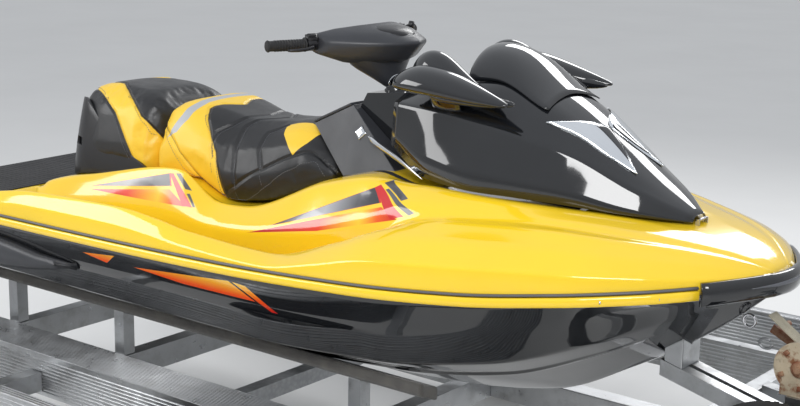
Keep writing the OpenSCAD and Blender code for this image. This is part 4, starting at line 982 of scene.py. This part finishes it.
def dye(ob, table, panels, band, seams, depth):
    """Colour fields of a seat, from its unrolled outlines, and grooves along its seams."""
    mesh = ob.data
    fields = {k: [] for k in ("panel", "stripe", "seam")}
    tops = {}
    normals = [v.normal.copy() for v in mesh.vertices]
    moved = []
    for v in mesh.vertices:
        q = (v.co - ORIGIN) * 1000
        key = round(q.x / 4)
        if key not in tops:
            tops[key] = top_height(table, q.x)
        p = Vector((q.x, abs(q.y) + max(0, tops[key] - q.z))) / 1000
        fields["panel"].append(max(within(p, o) for o in panels))
        fields["stripe"].append(within(p, band) if band else -1)
        gap = min(to_line(p, s) for s in seams)
        fields["seam"].append(gap)
        moved.append(depth * max(0, 1 - (gap / 0.011) ** 2))
    for k, values in fields.items():
        mesh.attributes.new(k, "FLOAT", "POINT").data.foreach_set("value", values)
    for v, n, m in zip(mesh.vertices, normals, moved):
        v.co -= n * m
    return ob


def seam_lines(name, table, lines, inset, seat):
    """Edges that follow the seams on both sides of a seat, for the stitches."""
    tree = BVHTree.FromObject(seat, bpy.context.evaluated_depsgraph_get())
    verts, edges = [], []
    for line in lines:
        for side in (-1, 1):
            first = len(verts)
            for a, b in zip(line, line[1:]):
                n = max(2, round((b - a).length / 0.012))
                for k in range(n):
                    p = a.lerp(b, k / n) * 1000
                    p = Vector((p.x + inset, p.y))
                    _, half, top_w, top = flow(table, max(table[0][0], min(table[-1][0], p.x)))
                    y = min(p.y, top_w + 10)
                    z = top - max(0, p.y - y)
                    hit = tree.find_nearest(at(p.x, side * min(half, y + 0.25 * (top - z)), z))
                    if hit[0]:
                        verts.append(hit[0] + hit[1] * 0.0004)
            edges += [(k, k + 1) for k in range(first, len(verts) - 1) if (verts[k] - verts[k + 1]).length < 0.04]
    mesh = bpy.data.meshes.new(name)
    mesh.from_pydata(verts, edges, [])
    return thing(name, mesh)


def make_seats(look):
    for name, table, panels, band, seams, node in (
            ("rear_seat_pad", REAR_SEAT, [REAR_PANEL], None, REAR_SEAMS, "rear_seat"),
            ("front_seat_pad", FRONT_SEAT, [FRONT_PANEL, FRONT_INSERT], SILVER_BAND, FRONT_SEAMS, "front_seat")):
        pad = swell(seat_form(name, table, 3), look.seat_voxel, 0.009)
        dye(pad, table, panels, band, seams, 0.0035)
        guide = seam_lines(node + "_guide", table, seams, 9, pad)
        stitches = grown(node + "_stitches", "stitch_run",
                         {"Seam": guide, "Pitch": 0.009, "Stitch": 0.006, "Thread": 0.0008,
                                                             "Material": finish("trim_grey")})
        bpy.data.objects.remove(guide)
        give(pad, "seat_vinyl", [node])
        give(stitches, "trim_grey")
    # Moulded shell that wraps the back of the rear seat, with a grip slot on each side
    rows = []
    wide, back, depth, lean, bend = 258, 452, 190, 30, 0.45
    top = [(452, 768), (500, 796), (560, 822), (623, 801), (749, 714), (973, 610), (1015, 590)]
    for k in range(61):
        u = k / 60 * 2 - 1
        turn = min(1, abs(u) / bend) * math.pi / 2
        s = back + depth * (1 - math.cos(turn)) + (1015 - back - depth) * max(0, abs(u) - bend) / (1 - bend)
        y = wide * math.sin(turn)
        low = max(flow(DECK, s)[12], 470) + 3
        high = flow(top, s)[1]
        near = 1 - min(1, (s - back) / 300)
        side = math.copysign(1, u) if u else 1
        row = []
        for j in range(11):
            h = low + (high - low) * j / 10
            hug = 1 - 0.24 * (max(0, h - 520) / 356) ** 1.5
            row.append(at(s + lean * near * (j / 10) ** 1.5, side * y * hug, h))
        rows.append(row)

    def keep(r, i, j):
        return not (j == 4 and i in (18, 19, 20, 39, 40, 41))
    shell = skin("grab_handle_shell", rows, keep, at(900, 0, 600))
    wall(shell, 0.012)
    bevel(shell, 0.003, 2, 40)
    give(shell, "handle_black", ["grab_handle"])


# ---- Hood, windshield, mirrors and lamps ----
def spread(line, steps):
    """Points evenly along a line of (s, y) corners."""
    runs = [0.0]
    for a, b in zip(line, line[1:]):
        runs.append(runs[-1] + math.dist(a, b))
    table = [(r, *q) for r, q in zip(runs, line)]
    return [flow(table, runs[-1] * k / steps)[1:] for k in range(steps + 1)]


def bonnet(s, y):
    half = hood_half(s)
    (y2, h2), (_, h3) = half[2], half[3]
    return h3 + (h2 - h3) * (abs(y) / y2) ** 1.6


def lobe(name, table):
    return loft(name, [[at(s, -(y + u * w), lo + v * (hi - lo)) for u, v in LOBE_SECTION]
                       for s, y, w, lo, hi in table])


# Outer and inner edges of a lamp and of its insert: station and distance from the centreline
LAMP_OUTER = [(2603, 170), (2640, 157), (2679, 141), (2718, 129), (2766, 116), (2809, 97), (2859, 78)]
LAMP_INNER = [(2606, 166), (2648, 121), (2670, 80), (2687, 48), (2716, 7), (2788, 30), (2860, 74)]
INSERT_OUTER = [(2700, 52), (2740, 54), (2785, 58), (2822, 64)]
INSERT_INNER = [(2704, 46), (2722, 12), (2775, 30), (2824, 62)]


def make_hood(look):
    rows = [section(hood_half(s), [0, 12, 70, 120], s, arc=6) for s in stations(HOOD, 22)]
    give(wall(skin("hood_shell", rows, None, at(2500, 0, 700)), 0.005), "fairing_black", ["hood"], body="hood")
    ring = section(hood_half(2092), [0, 12, 70, 120], 2092, arc=6)
    inner = [p + (at(2092, 0, 900) - p) * 0.035 for p in ring]
    panel = loft("dash_panel", [inner, [p + Vector((0.006, 0, 0)) for p in inner]])
    give(bevel(panel, 0.001), "moulding_grey", body="hood")
    rows = []
    for s, lift in ((2585, 2), (2545, 6), (2500, 15), (2455, 32), (2410, 52), (2370, 69), (2335, 80), (2308, 83),
                    (2292, 78), (2284, 66)):
        row = []
        for k in range(33):
            u = k / 16 - 1
            y = u * (150 + 12 * (2585 - s) / 300)
            crown = (1 - abs(u) ** 2.4) ** 0.75
            x = s + 30 * u * u * (1 if s < 2500 else 0.4)
            row.append(at(x, y, bonnet(min(x, 2585), y) - 4 + 5.5 * crown ** 0.3 + lift * crown))
        rows.append(row)
    give(wall(round_off(skin("windshield_visor", rows, None, at(2450, 0, 900)), 1), 0.004), "fairing_black",
         ["windshield"], body="hood")
    lobes = [round_off(lobe("mirror_pod_shell", MIRROR), 3), round_off(lobe("mirror_lobe", MIRROR_LOBE), 3),
             round_off(lobe("mirror_blade", MIRROR_BLADE), 2)]
    foot = []
    for y, h in ((226, 960), (246, 1000), (268, 1034)):
        foot.append([at(2290 + a * 60, -y + b * 16, h + c * 8)
                     for a, b, c in ((-1, 1, -1), (1, 1, -1), (1, -1, 1), (-1, -1, 1))])
    stalk = round_off(loft("mirror_stalk", foot), 2)
    give(mirrored(joined("mirror_pods", lobes + [stalk])), "fairing_black", ["mirrors"], body="hood")
    face = []
    for ring, shrink in ((2125, 0.9), (2121, 0.86), (2120, 0.4)):
        s, y, w, lo, hi = MIRROR[0]
        face.append([at(ring, -(y + u * w * shrink), (lo + hi) / 2 + (v - 0.5) * (hi - lo) * shrink)
                     for u, v in ((-0.8, 0.1), (-1, 0.42), (-0.62, 0.86), (0, 0.96), (0.6, 0.82), (1, 0.4),
                                  (0.8, 0.1))])
    give(mirrored(round_off(loft("mirror_glass", face), 2)), "mirror_glass", body="hood")
    # Swept lamp on each side of the bonnet, in chrome, with a dark insert along its inner edge
    tree = BVHTree.FromObject(bpy.data.objects["hood_shell"], bpy.context.evaluated_depsgraph_get())

    def on_bonnet(s, y, lift):
        spot, normal = tree.ray_cast(at(s, -y, 1300), Vector((0, 0, -1)))[:2]
        return spot + normal * lift / 1000

    def patch(name, outer, inner, lift, dome, thick, steps=24):
        outer, inner = spread(outer, steps), spread(inner, steps)
        rows = []
        for a, b in zip(outer, inner):
            row = []
            for k in range(9):
                u = k / 8
                row.append(on_bonnet(a[0] + (b[0] - a[0]) * u, a[1] + (b[1] - a[1]) * u,
                                     lift + dome * (1 - (2 * u - 1) ** 2)))
            rows.append(row)
        return mirrored(wall(skin(name, rows, None, at(2650, -90, 700)), thick))
    give(patch("headlight_bowl", LAMP_OUTER, LAMP_INNER, 3, 4, 0.004), "lens_silver", ["headlight"], body="hood")
    give(patch("headlight_insert", INSERT_OUTER, INSERT_INNER, 7, 0.6, 0.0015, 12), "fairing_black", body="hood")


# ---- Glove box, console and steering ----
COLUMN_RAKE, BAR_SWEEP = math.radians(28), math.radians(22)
COLUMN_S, COLUMN_H = 1905, 974
BAR_S, BAR_Y, BAR_H = 1745, 212.5, 1123


def bar_frame(side):
    """Where a grip starts, and the directions along it and ahead of it."""
    return (at(BAR_S, side * BAR_Y, BAR_H), Vector((-math.sin(BAR_SWEEP), side * math.cos(BAR_SWEEP), 0)),
            Vector((math.cos(BAR_SWEEP), side * math.sin(BAR_SWEEP), 0)))


def eased_node(name, material, width, segments=2):
    """Rounds the edges of a CAD node that shows, and gives it its finish."""
    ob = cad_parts[name]
    weld = ob.modifiers.new("Weld", "WELD")
    weld.merge_threshold = 1e-5
    bevel(ob, width, segments, 30)
    ob.data.materials[0] = finish(material)
    return ob


def plain(material, **widths):
    """CAD nodes that show as they are, in one finish, with the width of each one's edge."""
    for name, width in widths.items():
        if width:
            eased_node(name, material, width)
        else:
            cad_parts[name].data.materials[0] = finish(material)


def make_steering(look):
    eased_node("glove_box", "moulding_grey", 0.007, 3)
    eased_node("glove_box_lid", "moulding_grey", 0.0025, 3)
    eased_node("console", "fairing_black", 0.01, 4)
    eased_node("steering_column", "moulding_grey", 0.002)
    rings = []
    for y, s0, s1, lo, hi in COVER:
        rings.append([at(s0 + u * (s1 - s0), y, lo + v * (hi - lo))
                      for u, v in ((0, 0.45), (0.08, 0.85), (0.3, 1), (0.75, 0.85), (1, 0.62), (0.8, 0.2),
                                   (0.55, 0), (0.2, 0.1))])
    cover = bevel(loft("steering_cover_shell", rings), 0.012, 3, 25)
    rings = []
    for up, wide, deep in ((10, 27, 27), (24, 38, 34), (60, 74, 56), (100, 122, 82), (140, 168, 100)):
        foot = (COLUMN_S - up * math.sin(COLUMN_RAKE), COLUMN_H + up * math.cos(COLUMN_RAKE))
        rings.append([at(foot[0] + deep * math.cos(a) * math.cos(COLUMN_RAKE), wide * math.sin(a),
                         foot[1] + deep * math.cos(a) * math.sin(COLUMN_RAKE))
                      for a in [math.pi * 2 * k / 20 for k in range(20)]])
    neck = round_off(loft("steering_neck", rings), 1)
    give(joined("steering_cover_shell", [cover, neck]), "moulding_grey", ["steering_cover"], body="steering")
    rings = []
    for y, w in ((-70, 0.5), (-40, 1), (0, 1.1), (40, 1), (70, 0.5)):
        rings.append([at(1880 + u * 90 * w, y, 1163 + v * 26 * w)
                      for u, v in ((-1, -0.6), (-0.7, 0.4), (0, 0.7), (0.8, 0.15), (1, -0.9), (0, -1))])
    give(round_off(loft("steering_crown", rings), 2), "handle_black", body="steering")
    eased_node("handlebar", "stainless", 0.001)
    eased_node("handlebar_controls", "handle_black", 0.003, 2)
    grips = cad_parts["handlebar_grips"]
    grips.data.materials[0] = finish("grip_rubber")
    parts = []
    for side in (-1, 1):
        start, run, _ = bar_frame(side)
        turn = (math.pi / 2, 0, side * BAR_SWEEP)
        parts.append(rods("grip_ribs", 11, start + run * 0.048, run * 0.0098, turn, 24, 0.0185, 0.0042,
                          "grip_rubber"))
        parts.append(tube("grip_flange", [start + run * t for t in (0.0395, 0.042, 0.0455)], 0.0235, 24,
                          [0.8, 1, 0.85]))
        parts.append(tube("grip_end", [start + run * t for t in (0.168, 0.172, 0.177)], 0.0195, 24, [0.92, 1, 0.7]))
    give(joined("grip_ribs", parts), "grip_rubber", body="steering")
    levers = []
    for side in (-1, 1):
        start, run, ahead = bar_frame(side)
        path = [start + run * a + ahead * b + Vector((0, 0, c)) for a, b, c in
                ((0.018, 0.022, -0.002), (0.03, 0.036, -0.006), (0.055, 0.043, -0.01), (0.085, 0.043, -0.012),
                 (0.108, 0.039, -0.012), (0.118, 0.034, -0.012))]
        if side < 0:
            levers.append(tube("lever", path, 0.0065, 10, [0.9, 1, 0.9, 0.85, 0.8, 0.6]))
        levers.append(tube("switch_pod", [start + run * a + Vector((0, 0, 0.016))
                                          for a in (-0.004, 0.002, 0.03, 0.036)], 0.019, 4, [0.8, 1, 1, 0.85]))
    levers.append(tube("switch_knob", [at(1815, 190, 1150), at(1815, 196, 1162), at(1815, 198, 1172)], 0.011, 14,
                       [1, 1, 0.8]))
    give(joined("levers_and_switches", levers), "handle_black", body="steering")
    # Bright spear and star-shaped boss on each flank, on a near-black sheet of painted shadow that stands in for a
    # dark recess
    spear = []
    line = [(1936, 172, 836, 8), (1960, 186, 829, 13), (2000, 203, 822, 12), (2060, 226, 812, 11),
            (2130, 254, 798, 9), (2200, 284, 780, 6), (2256, 306, 765, 1.5)]
    for s, y, h, r in line:
        c = at(s, -y, h)
        spear.append([c + Vector((0, -math.cos(a) * r * 0.7, math.sin(a) * r)) / 1000
                      for a in [math.pi * 2 * k / 10 for k in range(10)]])
    give(mirrored(round_off(loft("flank_spear", spear), 1)), "chrome")
    # Near-black sheet laid 1.2 mm off the deck along each spear: painted shadow of a recess
    deck = bpy.data.objects["deck_shell"]
    tree = BVHTree.FromObject(deck, bpy.context.evaluated_depsgraph_get())
    rows = []
    for s, y, h, r in line[1:]:
        row = []
        for k in range(7):
            u = k / 3 - 1
            hit = tree.find_nearest(at(s + 6, -(y + 4) - u * r * 1.2, h - 22 + u * r * 1.5))
            row.append(hit[0] + hit[1] * 0.0012)
        rows.append(row)
    give(mirrored(skin("spear_recess", rows, None, at(2100, -150, 700))), "shadow")
    star = []
    for lift, grow in ((0, 1), (3, 1), (5, 0.72)):
        ring = []
        for k in range(16):
            a = math.pi * 2 * k / 16
            r = (27 if k % 4 == 0 else 17 if k % 2 == 0 else 15) * grow
            ring.append(at(1890 + math.cos(a) * r * 1.1, -(158 + lift) + math.sin(a) * r * 0.32,
                           844 + math.sin(a) * r))
        star.append(ring)
    give(mirrored(round_off(loft("flank_boss", star), 1)), "chrome")


# ---- Plain CAD nodes of the craft ----
def make_fittings(look):
    plain("stainless", hood_hinge=0.001, bow_eye=0, stern_eyes=0, impeller=0.0005)
    plain("handle_black", storage_bin=0.002, reverse_gate=0.001)
    plain("pump_aluminium", pump_housing=0.001, jet_nozzle=0.001, intake_grate=0.001, ride_plate=0.001)
    plain("engine_grey", engine_block=0.006)
    plain("mat_black", footwell_mats=0.001, platform_mat=0.001)
    screws = []
    for s in (160, 420, 2980, 3110):
        y, h = gunwale(s)
        for side in (-1, 1):
            screws.append(rods("rim_screws", 1, at(s, side * (y + 16.5), h), Vector((0, 0, 0)), (math.pi / 2, 0, 0),
                               12, 0.005, 0.003, "stainless"))
    give(joined("bumper_screws", screws), "stainless")


# ---- Trailer ----
RIB_RELIEF = 0.0034
RAIL_W = 0.05
# Middle of a rib on a face that is in the open
RIB_PROUD = 0.0005


def ribs(name, low, high, count, face, radius=0.003):
    """Long ribs on the face of a rail: face is the y of that face, low and high its heights."""
    (x0, z0), (x1, z1) = low, high
    return rods(name, count, Vector(((x0 + x1) / 2, face, z0 + (z1 - z0) * 0.5 / count)),
                Vector((0, 0, (z1 - z0) / count)), (0, math.pi / 2, 0), 8, radius, x1 - x0 - 0.002,
                "trailer_aluminium")


def make_trailer(look):
    plain("trailer_aluminium", main_rails=0.003, centre_beam=0.003, walk_plank=0.0025, cross_members=0.003,
          tongue_frame=0.003, bunk_brackets=0.002, winch_stand=0.002, bow_stop=0.003)
    plain("galvanised_steel", axle=0.003, coupler=0.006, jack_tube=0.0015, jack_leg=0.0015)
    plain("bunk_carpet", bunks=0.01)
    plain("lens_red", tail_lights=0.006)
    low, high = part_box("step_rails")
    parts = [bevel(box("step_rail", (low.x, low.y + RIB_RELIEF, low.z), (high.x, low.y + RAIL_W, high.z)), 0.003),
             bevel(box("step_rail", (low.x, high.y - RAIL_W, low.z), (high.x, high.y - RIB_RELIEF, high.z)), 0.003)]
    for y in (low.y + RIB_RELIEF - 0.0004, high.y - RIB_RELIEF + 0.0004, low.y + RAIL_W + RIB_PROUD,
              high.y - RAIL_W - RIB_PROUD):
        parts.append(ribs("rail_ribs", (low.x, low.z + 0.012), (high.x, high.z - 0.012), look.rib_count, y))
    give(joined("step_rail_profiles", parts), "trailer_aluminium", ["step_rails"])
    parts = []
    mlow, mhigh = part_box("main_rails")
    for y in (mlow.y + RAIL_W + RIB_PROUD, mhigh.y - RAIL_W - RIB_PROUD, mhigh.y + RIB_PROUD):
        parts.append(ribs("rail_ribs", (mlow.x, mlow.z + 0.012), (mhigh.x, mhigh.z - 0.012), look.rib_count, y))
    plow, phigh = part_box("walk_plank")
    parts.append(ribs("rail_ribs", (plow.x, plow.z + 0.01), (phigh.x, phigh.z - 0.02), look.rib_count + 1, plow.y,
                      0.0045))
    give(joined("rail_ribs", parts), "trailer_aluminium")
    treads = []
    for z, y0, y1 in ((phigh.z, plow.y + 0.008, phigh.y - 0.006), (high.z, low.y + 0.006, low.y + 0.045),
                      (high.z, high.y - 0.045, high.y - 0.006)):
        n = max(3, round((y1 - y0) / 0.009))
        treads.append(rods("tread_ridges", n, Vector(((plow.x + phigh.x) / 2, y0, z - 0.0006)),
                           Vector((0, (y1 - y0) / (n - 1), 0)), (0, math.pi / 2, 0), 8, 0.0022,
                           phigh.x - plow.x - 0.004, "trailer_aluminium"))
    give(joined("tread_ridges", treads), "trailer_aluminium")
    bolts = []
    for s in (0.34, 0.94, 2.04, 2.838):
        for y, turn, ny in ((mlow.y + RAIL_W + RIB_PROUD, math.pi / 2, 0.004),
                            (mhigh.y - RAIL_W - RIB_PROUD, math.pi / 2, -0.004)):
            for dz in (0.03, 0.075):
                bolts.append(rods("frame_bolts", 2, Vector((ORIGIN.x + s - 0.022, y + ny, mhigh.z - dz)),
                                  Vector((0.104, 0, 0)), (turn, 0, 0), 6, 0.009, 0.008, "galvanised_steel"))
    wlow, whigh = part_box("winch_stand")
    for side in (-1, 1):
        start = Vector(((wlow.x + whigh.x) / 2 - 0.012, ORIGIN.y + side * 0.06, whigh.z - 0.14))
        bolts.append(rods("frame_bolts", 2, start, Vector((0.024, 0, 0)), (math.pi / 2, 0, 0), 6, 0.008, 0.012,
                          "galvanised_steel"))
    give(joined("frame_bolts", bolts), "galvanised_steel")
    tlow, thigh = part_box("tail_lights")
    lamps = []
    for side in (-1, 1):
        y, z = thigh.y - 0.045 if side > 0 else tlow.y + 0.045, (tlow.z + thigh.z) / 2
        lamps.append(bevel(box("amber_lens", (tlow.x - 0.0001, y - 0.034, z - 0.028),
                               (tlow.x + 0.02, y + 0.034, z + 0.028)), 0.004))
    give(joined("amber_lenses", lamps), "lens_amber")


# ---- Wheels and winch ----
def make_running_gear(look):
    for node, rim, body in (("tyre_left", "wheel_rims_left", "wheel_left"),
                            ("tyre_right", "wheel_rims_right", "wheel_right"), ("spare_tyre", "spare_rim", BASE)):
        low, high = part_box(node)
        c = (low + high) / 2
        r = (high.z - low.z) / 2
        eased_node(node, "tyre_rubber", 0.004, 2)
        eased_node(rim, "rim_white", 0.002, 2)
        bands = []
        for k, (y, w, skew) in enumerate(((-0.034, 0.012, 0.35), (-0.013, 0.014, -0.3), (0.013, 0.014, 0.3),
                                          (0.034, 0.012, -0.35))):
            bands.append(blocks("tread", look.tread_blocks, c + Vector((0, y, 0)), r - 0.0035,
                                Vector((0.018, w, 0.006)), skew, 0.03 * k, "tyre_rubber"))
        for y in (-0.058, 0.058):
            bands.append(blocks("tread", look.tread_blocks, c + Vector((0, y, 0)), r - 0.0085,
                                Vector((0.014, 0.02, 0.006)), 0.0, 0.02, "tyre_rubber"))
        give(joined(node + "_tread", bands), "tyre_rubber", body=body)
        face = 1 if c.y > 0 else -1
        nuts = blocks(rim + "_nuts", 5, Vector((c.x, c.y + face * 0.021 + face * 0.006, c.z)), 0.07,
                      Vector((0.017, 0.014, 0.017)), 0.0, 0.2, "galvanised_steel")
        give(bevel(nuts, 0.003), "galvanised_steel", body=body)
    eased_node("winch_frame", "winch_tan", 0.0012)
    eased_node("winch_drum", "winch_rust", 0.0015)
    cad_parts["winch_strap"].data.materials[0] = finish("strap_webbing")
    low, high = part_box("winch_frame")
    c = Vector(((low.x + high.x) / 2, ORIGIN.y, low.z + 0.0836))
    bolts = []
    for side in (-1, 1):
        y = high.y + 0.002 if side > 0 else low.y - 0.002
        bolts.append(blocks("winch_bolts", 5, Vector((c.x, y, c.z)), 0.056, Vector((0.014, 0.009, 0.014)), 0.0, 0.5,
                            "winch_rust"))
        hub = [Vector((c.x, y + side * t, c.z)) for t in (-0.002, 0.003, 0.006)]
        bolts.append(tube("winch_hub", hub, 0.024, 20, [1, 1, 0.8]))
    give(bevel(joined("winch_bolts", bolts), 0.0015), "winch_rust")
    strap_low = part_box("winch_strap")[0]
    hook = [Vector((strap_low.x - 0.012 + 0.02 * math.cos(a), ORIGIN.y,
                    strap_low.z + 0.004 + 0.014 * math.sin(a))) for a in [math.pi * k / 12 for k in range(3, 25)]]
    give(tube("strap_hook", hook, 0.004, 10), "galvanised_steel")


# ---- Floor, lights and camera ----
def make_stage(look):
    scene = bpy.context.scene
    mesh = bpy.data.meshes.new("floor")
    bm = bmesh.new()
    bmesh.ops.create_grid(bm, x_segments=2, y_segments=2, size=60)
    bm.to_mesh(mesh)
    bm.free()
    floor = thing("floor", mesh, False)
    f = Finish("floor_pale", (0.72, 0.72, 0.71), 0.85)
    f.vary(0.8, 0.02)
    floor.data.materials.append(f.done(0.2))
    world = bpy.data.worlds.new("studio")
    scene.world = world
    world.use_nodes = True
    nt = world.node_tree
    back = nt.nodes["Background"]
    coord = nt.nodes.new("ShaderNodeTexCoord")
    sep = nt.nodes.new("ShaderNodeSeparateXYZ")
    ramp = nt.nodes.new("ShaderNodeValToRGB")
    nt.links.new(coord.outputs["Generated"], sep.inputs[0])
    nt.links.new(sep.outputs["Z"], ramp.inputs[0])
    ramp.color_ramp.elements[0].position = 0.0
    ramp.color_ramp.elements[0].color = (0.62, 0.63, 0.64, 1)
    ramp.color_ramp.elements[1].position = 0.7
    ramp.color_ramp.elements[1].color = (0.9, 0.93, 0.98, 1)
    nt.links.new(ramp.outputs[0], back.inputs["Color"])
    back.inputs["Strength"].default_value = look.sky_strength
    for name, place, aim, size, power in (("key", (3.2, -5.5, 5.5), (0.2, -0.4, 0.8), (3.5, 2.0), look.key_power),
                                          ("fill", (-5.0, -4.0, 3.6), (-0.6, -0.4, 0.8), (3.0, 2.5),
                                           look.key_power * 0.45),
                                          ("rim", (-1.0, 5.0, 4.5), (0.0, -0.2, 0.8), (4.0, 1.5),
                                           look.key_power * 0.5)):
        data = bpy.data.lights.new(name, "AREA")
        data.shape = "RECTANGLE"
        data.size, data.size_y = size
        data.energy = power
        lamp = bpy.data.objects.new(name, data)
        scene.collection.objects.link(lamp)
        lamp.location = place
        lamp.rotation_euler = (Vector(aim) - Vector(place)).to_track_quat("-Z", "Y").to_euler()
    cam = bpy.data.cameras.new("camera")
    cam.sensor_width = 36
    cam.lens = look.lens
    eye = bpy.data.objects.new("camera", cam)
    scene.collection.objects.link(eye)
    turn = (Matrix.Rotation(look.pan, 4, "Z") @ Matrix.Rotation(math.pi / 2 - look.tilt, 4,
                                                                "X") @ Matrix.Rotation(look.roll, 4, "Z"))
    eye.matrix_world = Matrix.Translation(Vector(look.eye)) @ turn
    cam.clip_end = 200
    scene.camera = eye
    scene.view_settings.view_transform = "Standard"


# ---- Add-on: settings, operators and panel ----
class WatercraftLook(bpy.types.PropertyGroup):
    """Sizes and colours of the craft, its trailer and the stage"""
    deck_colour: FloatVectorProperty(name="Deck", description="Colour of the deck gelcoat", subtype="COLOR", size=3,
                                     default=(0.94, 0.63, 0.02), min=0, max=1)
    seat_colour: FloatVectorProperty(name="Seat panels", description="Colour of the bright vinyl panels",
                                     subtype="COLOR", size=3, default=(0.9, 0.58, 0.035), min=0, max=1)
    stripe_colour: FloatVectorProperty(name="Seat band", description="Colour of the band over the front seat",
                                       subtype="COLOR", size=3, default=(0.42, 0.44, 0.46), min=0, max=1)
    seat_voxel: FloatProperty(name="Seat mesh", description="Spacing of the points on the padded seats",
                              subtype="DISTANCE", unit="LENGTH", default=0.008, min=0.005, max=0.02)
    rib_count: IntProperty(name="Rail ribs", description="Ribs up the face of a rail", default=9, min=3, max=16)
    tread_blocks: IntProperty(name="Tread blocks", description="Tread blocks round a tyre", default=60, min=20,
                              max=90)
    sky_strength: FloatProperty(name="Soft light", description="Strength of the soft light all round", default=0.75,
                                min=0, max=3)
    key_power: FloatProperty(name="Key lamp", description="Power of the key lamp", unit="POWER", default=260, min=0,
                             max=2000)
    lens: FloatProperty(name="Lens", description="Focal length in millimetres", default=68.83, min=10, max=300)
    eye: FloatVectorProperty(name="Camera", description="Place of the camera", subtype="XYZ", unit="LENGTH", size=3,
                             default=(2.787, -4.272, 2.327))
    pan: FloatProperty(name="Pan", description="Turn of the camera to port", subtype="ANGLE",
                       default=math.radians(38.048))
    tilt: FloatProperty(name="Tilt", description="How far the camera looks down", subtype="ANGLE",
                        default=math.radians(12.888))
    roll: FloatProperty(name="Roll", description="Turn of the camera about its view", subtype="ANGLE",
                        default=math.radians(0.946))


def operator(idname, label, text, work):
    """Operator class that makes one group of pieces."""
    def execute(self, context):
        work(context.scene.watercraft_look)
        return {"FINISHED"}
    return type("WATERCRAFT_OT_" + idname, (bpy.types.Operator,),
                {"__doc__": text, "bl_idname": "watercraft." + idname, "bl_label": label,
                 "bl_options": {"REGISTER", "UNDO"}, "execute": execute})


STEPS = [operator("stage", "Floor, Lights and Camera", "Makes the floor, the soft lights and the camera",
                  make_stage),
         operator("shells", "Hull and Deck", "Makes the hull and deck shells", make_shells),
         operator("bumpers", "Bumpers and Sponsons", "Makes the bumpers along the gunwale and the sponsons",
                  make_bumpers),
         operator("seats", "Seats", "Makes the padded seats, their seams and the grab handle shell", make_seats),
         operator("hood", "Hood", "Makes the hood, windshield, mirrors and headlight", make_hood),
         operator("steering", "Steering and Glove Box", "Finishes the glove box, the console and the steering",
                  make_steering),
         operator("fittings", "Fittings", "Finishes the small fittings and the jet drive", make_fittings),
         operator("trailer", "Trailer", "Finishes the trailer frame and its ribs and bolts", make_trailer),
         operator("running_gear", "Wheels and Winch", "Finishes the wheels, winch, strap and jack",
                  make_running_gear)]


class WATERCRAFT_PT_panel(bpy.types.Panel):
    """Buttons and settings of the watercraft"""
    bl_label = "Watercraft on Trailer"
    bl_idname = "WATERCRAFT_PT_panel"
    bl_space_type = "VIEW_3D"
    bl_region_type = "UI"
    bl_category = "Watercraft"

    def draw(self, context):
        look = context.scene.watercraft_look
        for key in WatercraftLook.__annotations__:
            self.layout.prop(look, key)
        for step in STEPS:
            self.layout.operator(step.bl_idname)


CLASSES = [WatercraftLook, *STEPS, WATERCRAFT_PT_panel]


def register():
    for c in CLASSES:
        bpy.utils.register_class(c)
    bpy.types.Scene.watercraft_look = PointerProperty(type=WatercraftLook)


def unregister():
    del bpy.types.Scene.watercraft_look
    for c in reversed(CLASSES):
        bpy.utils.unregister_class(c)


def main():
    register()
    for step in STEPS:
        group, name = step.bl_idname.split(".")
        getattr(getattr(bpy.ops, group), name)()


if __name__ == "__main__":
    main()
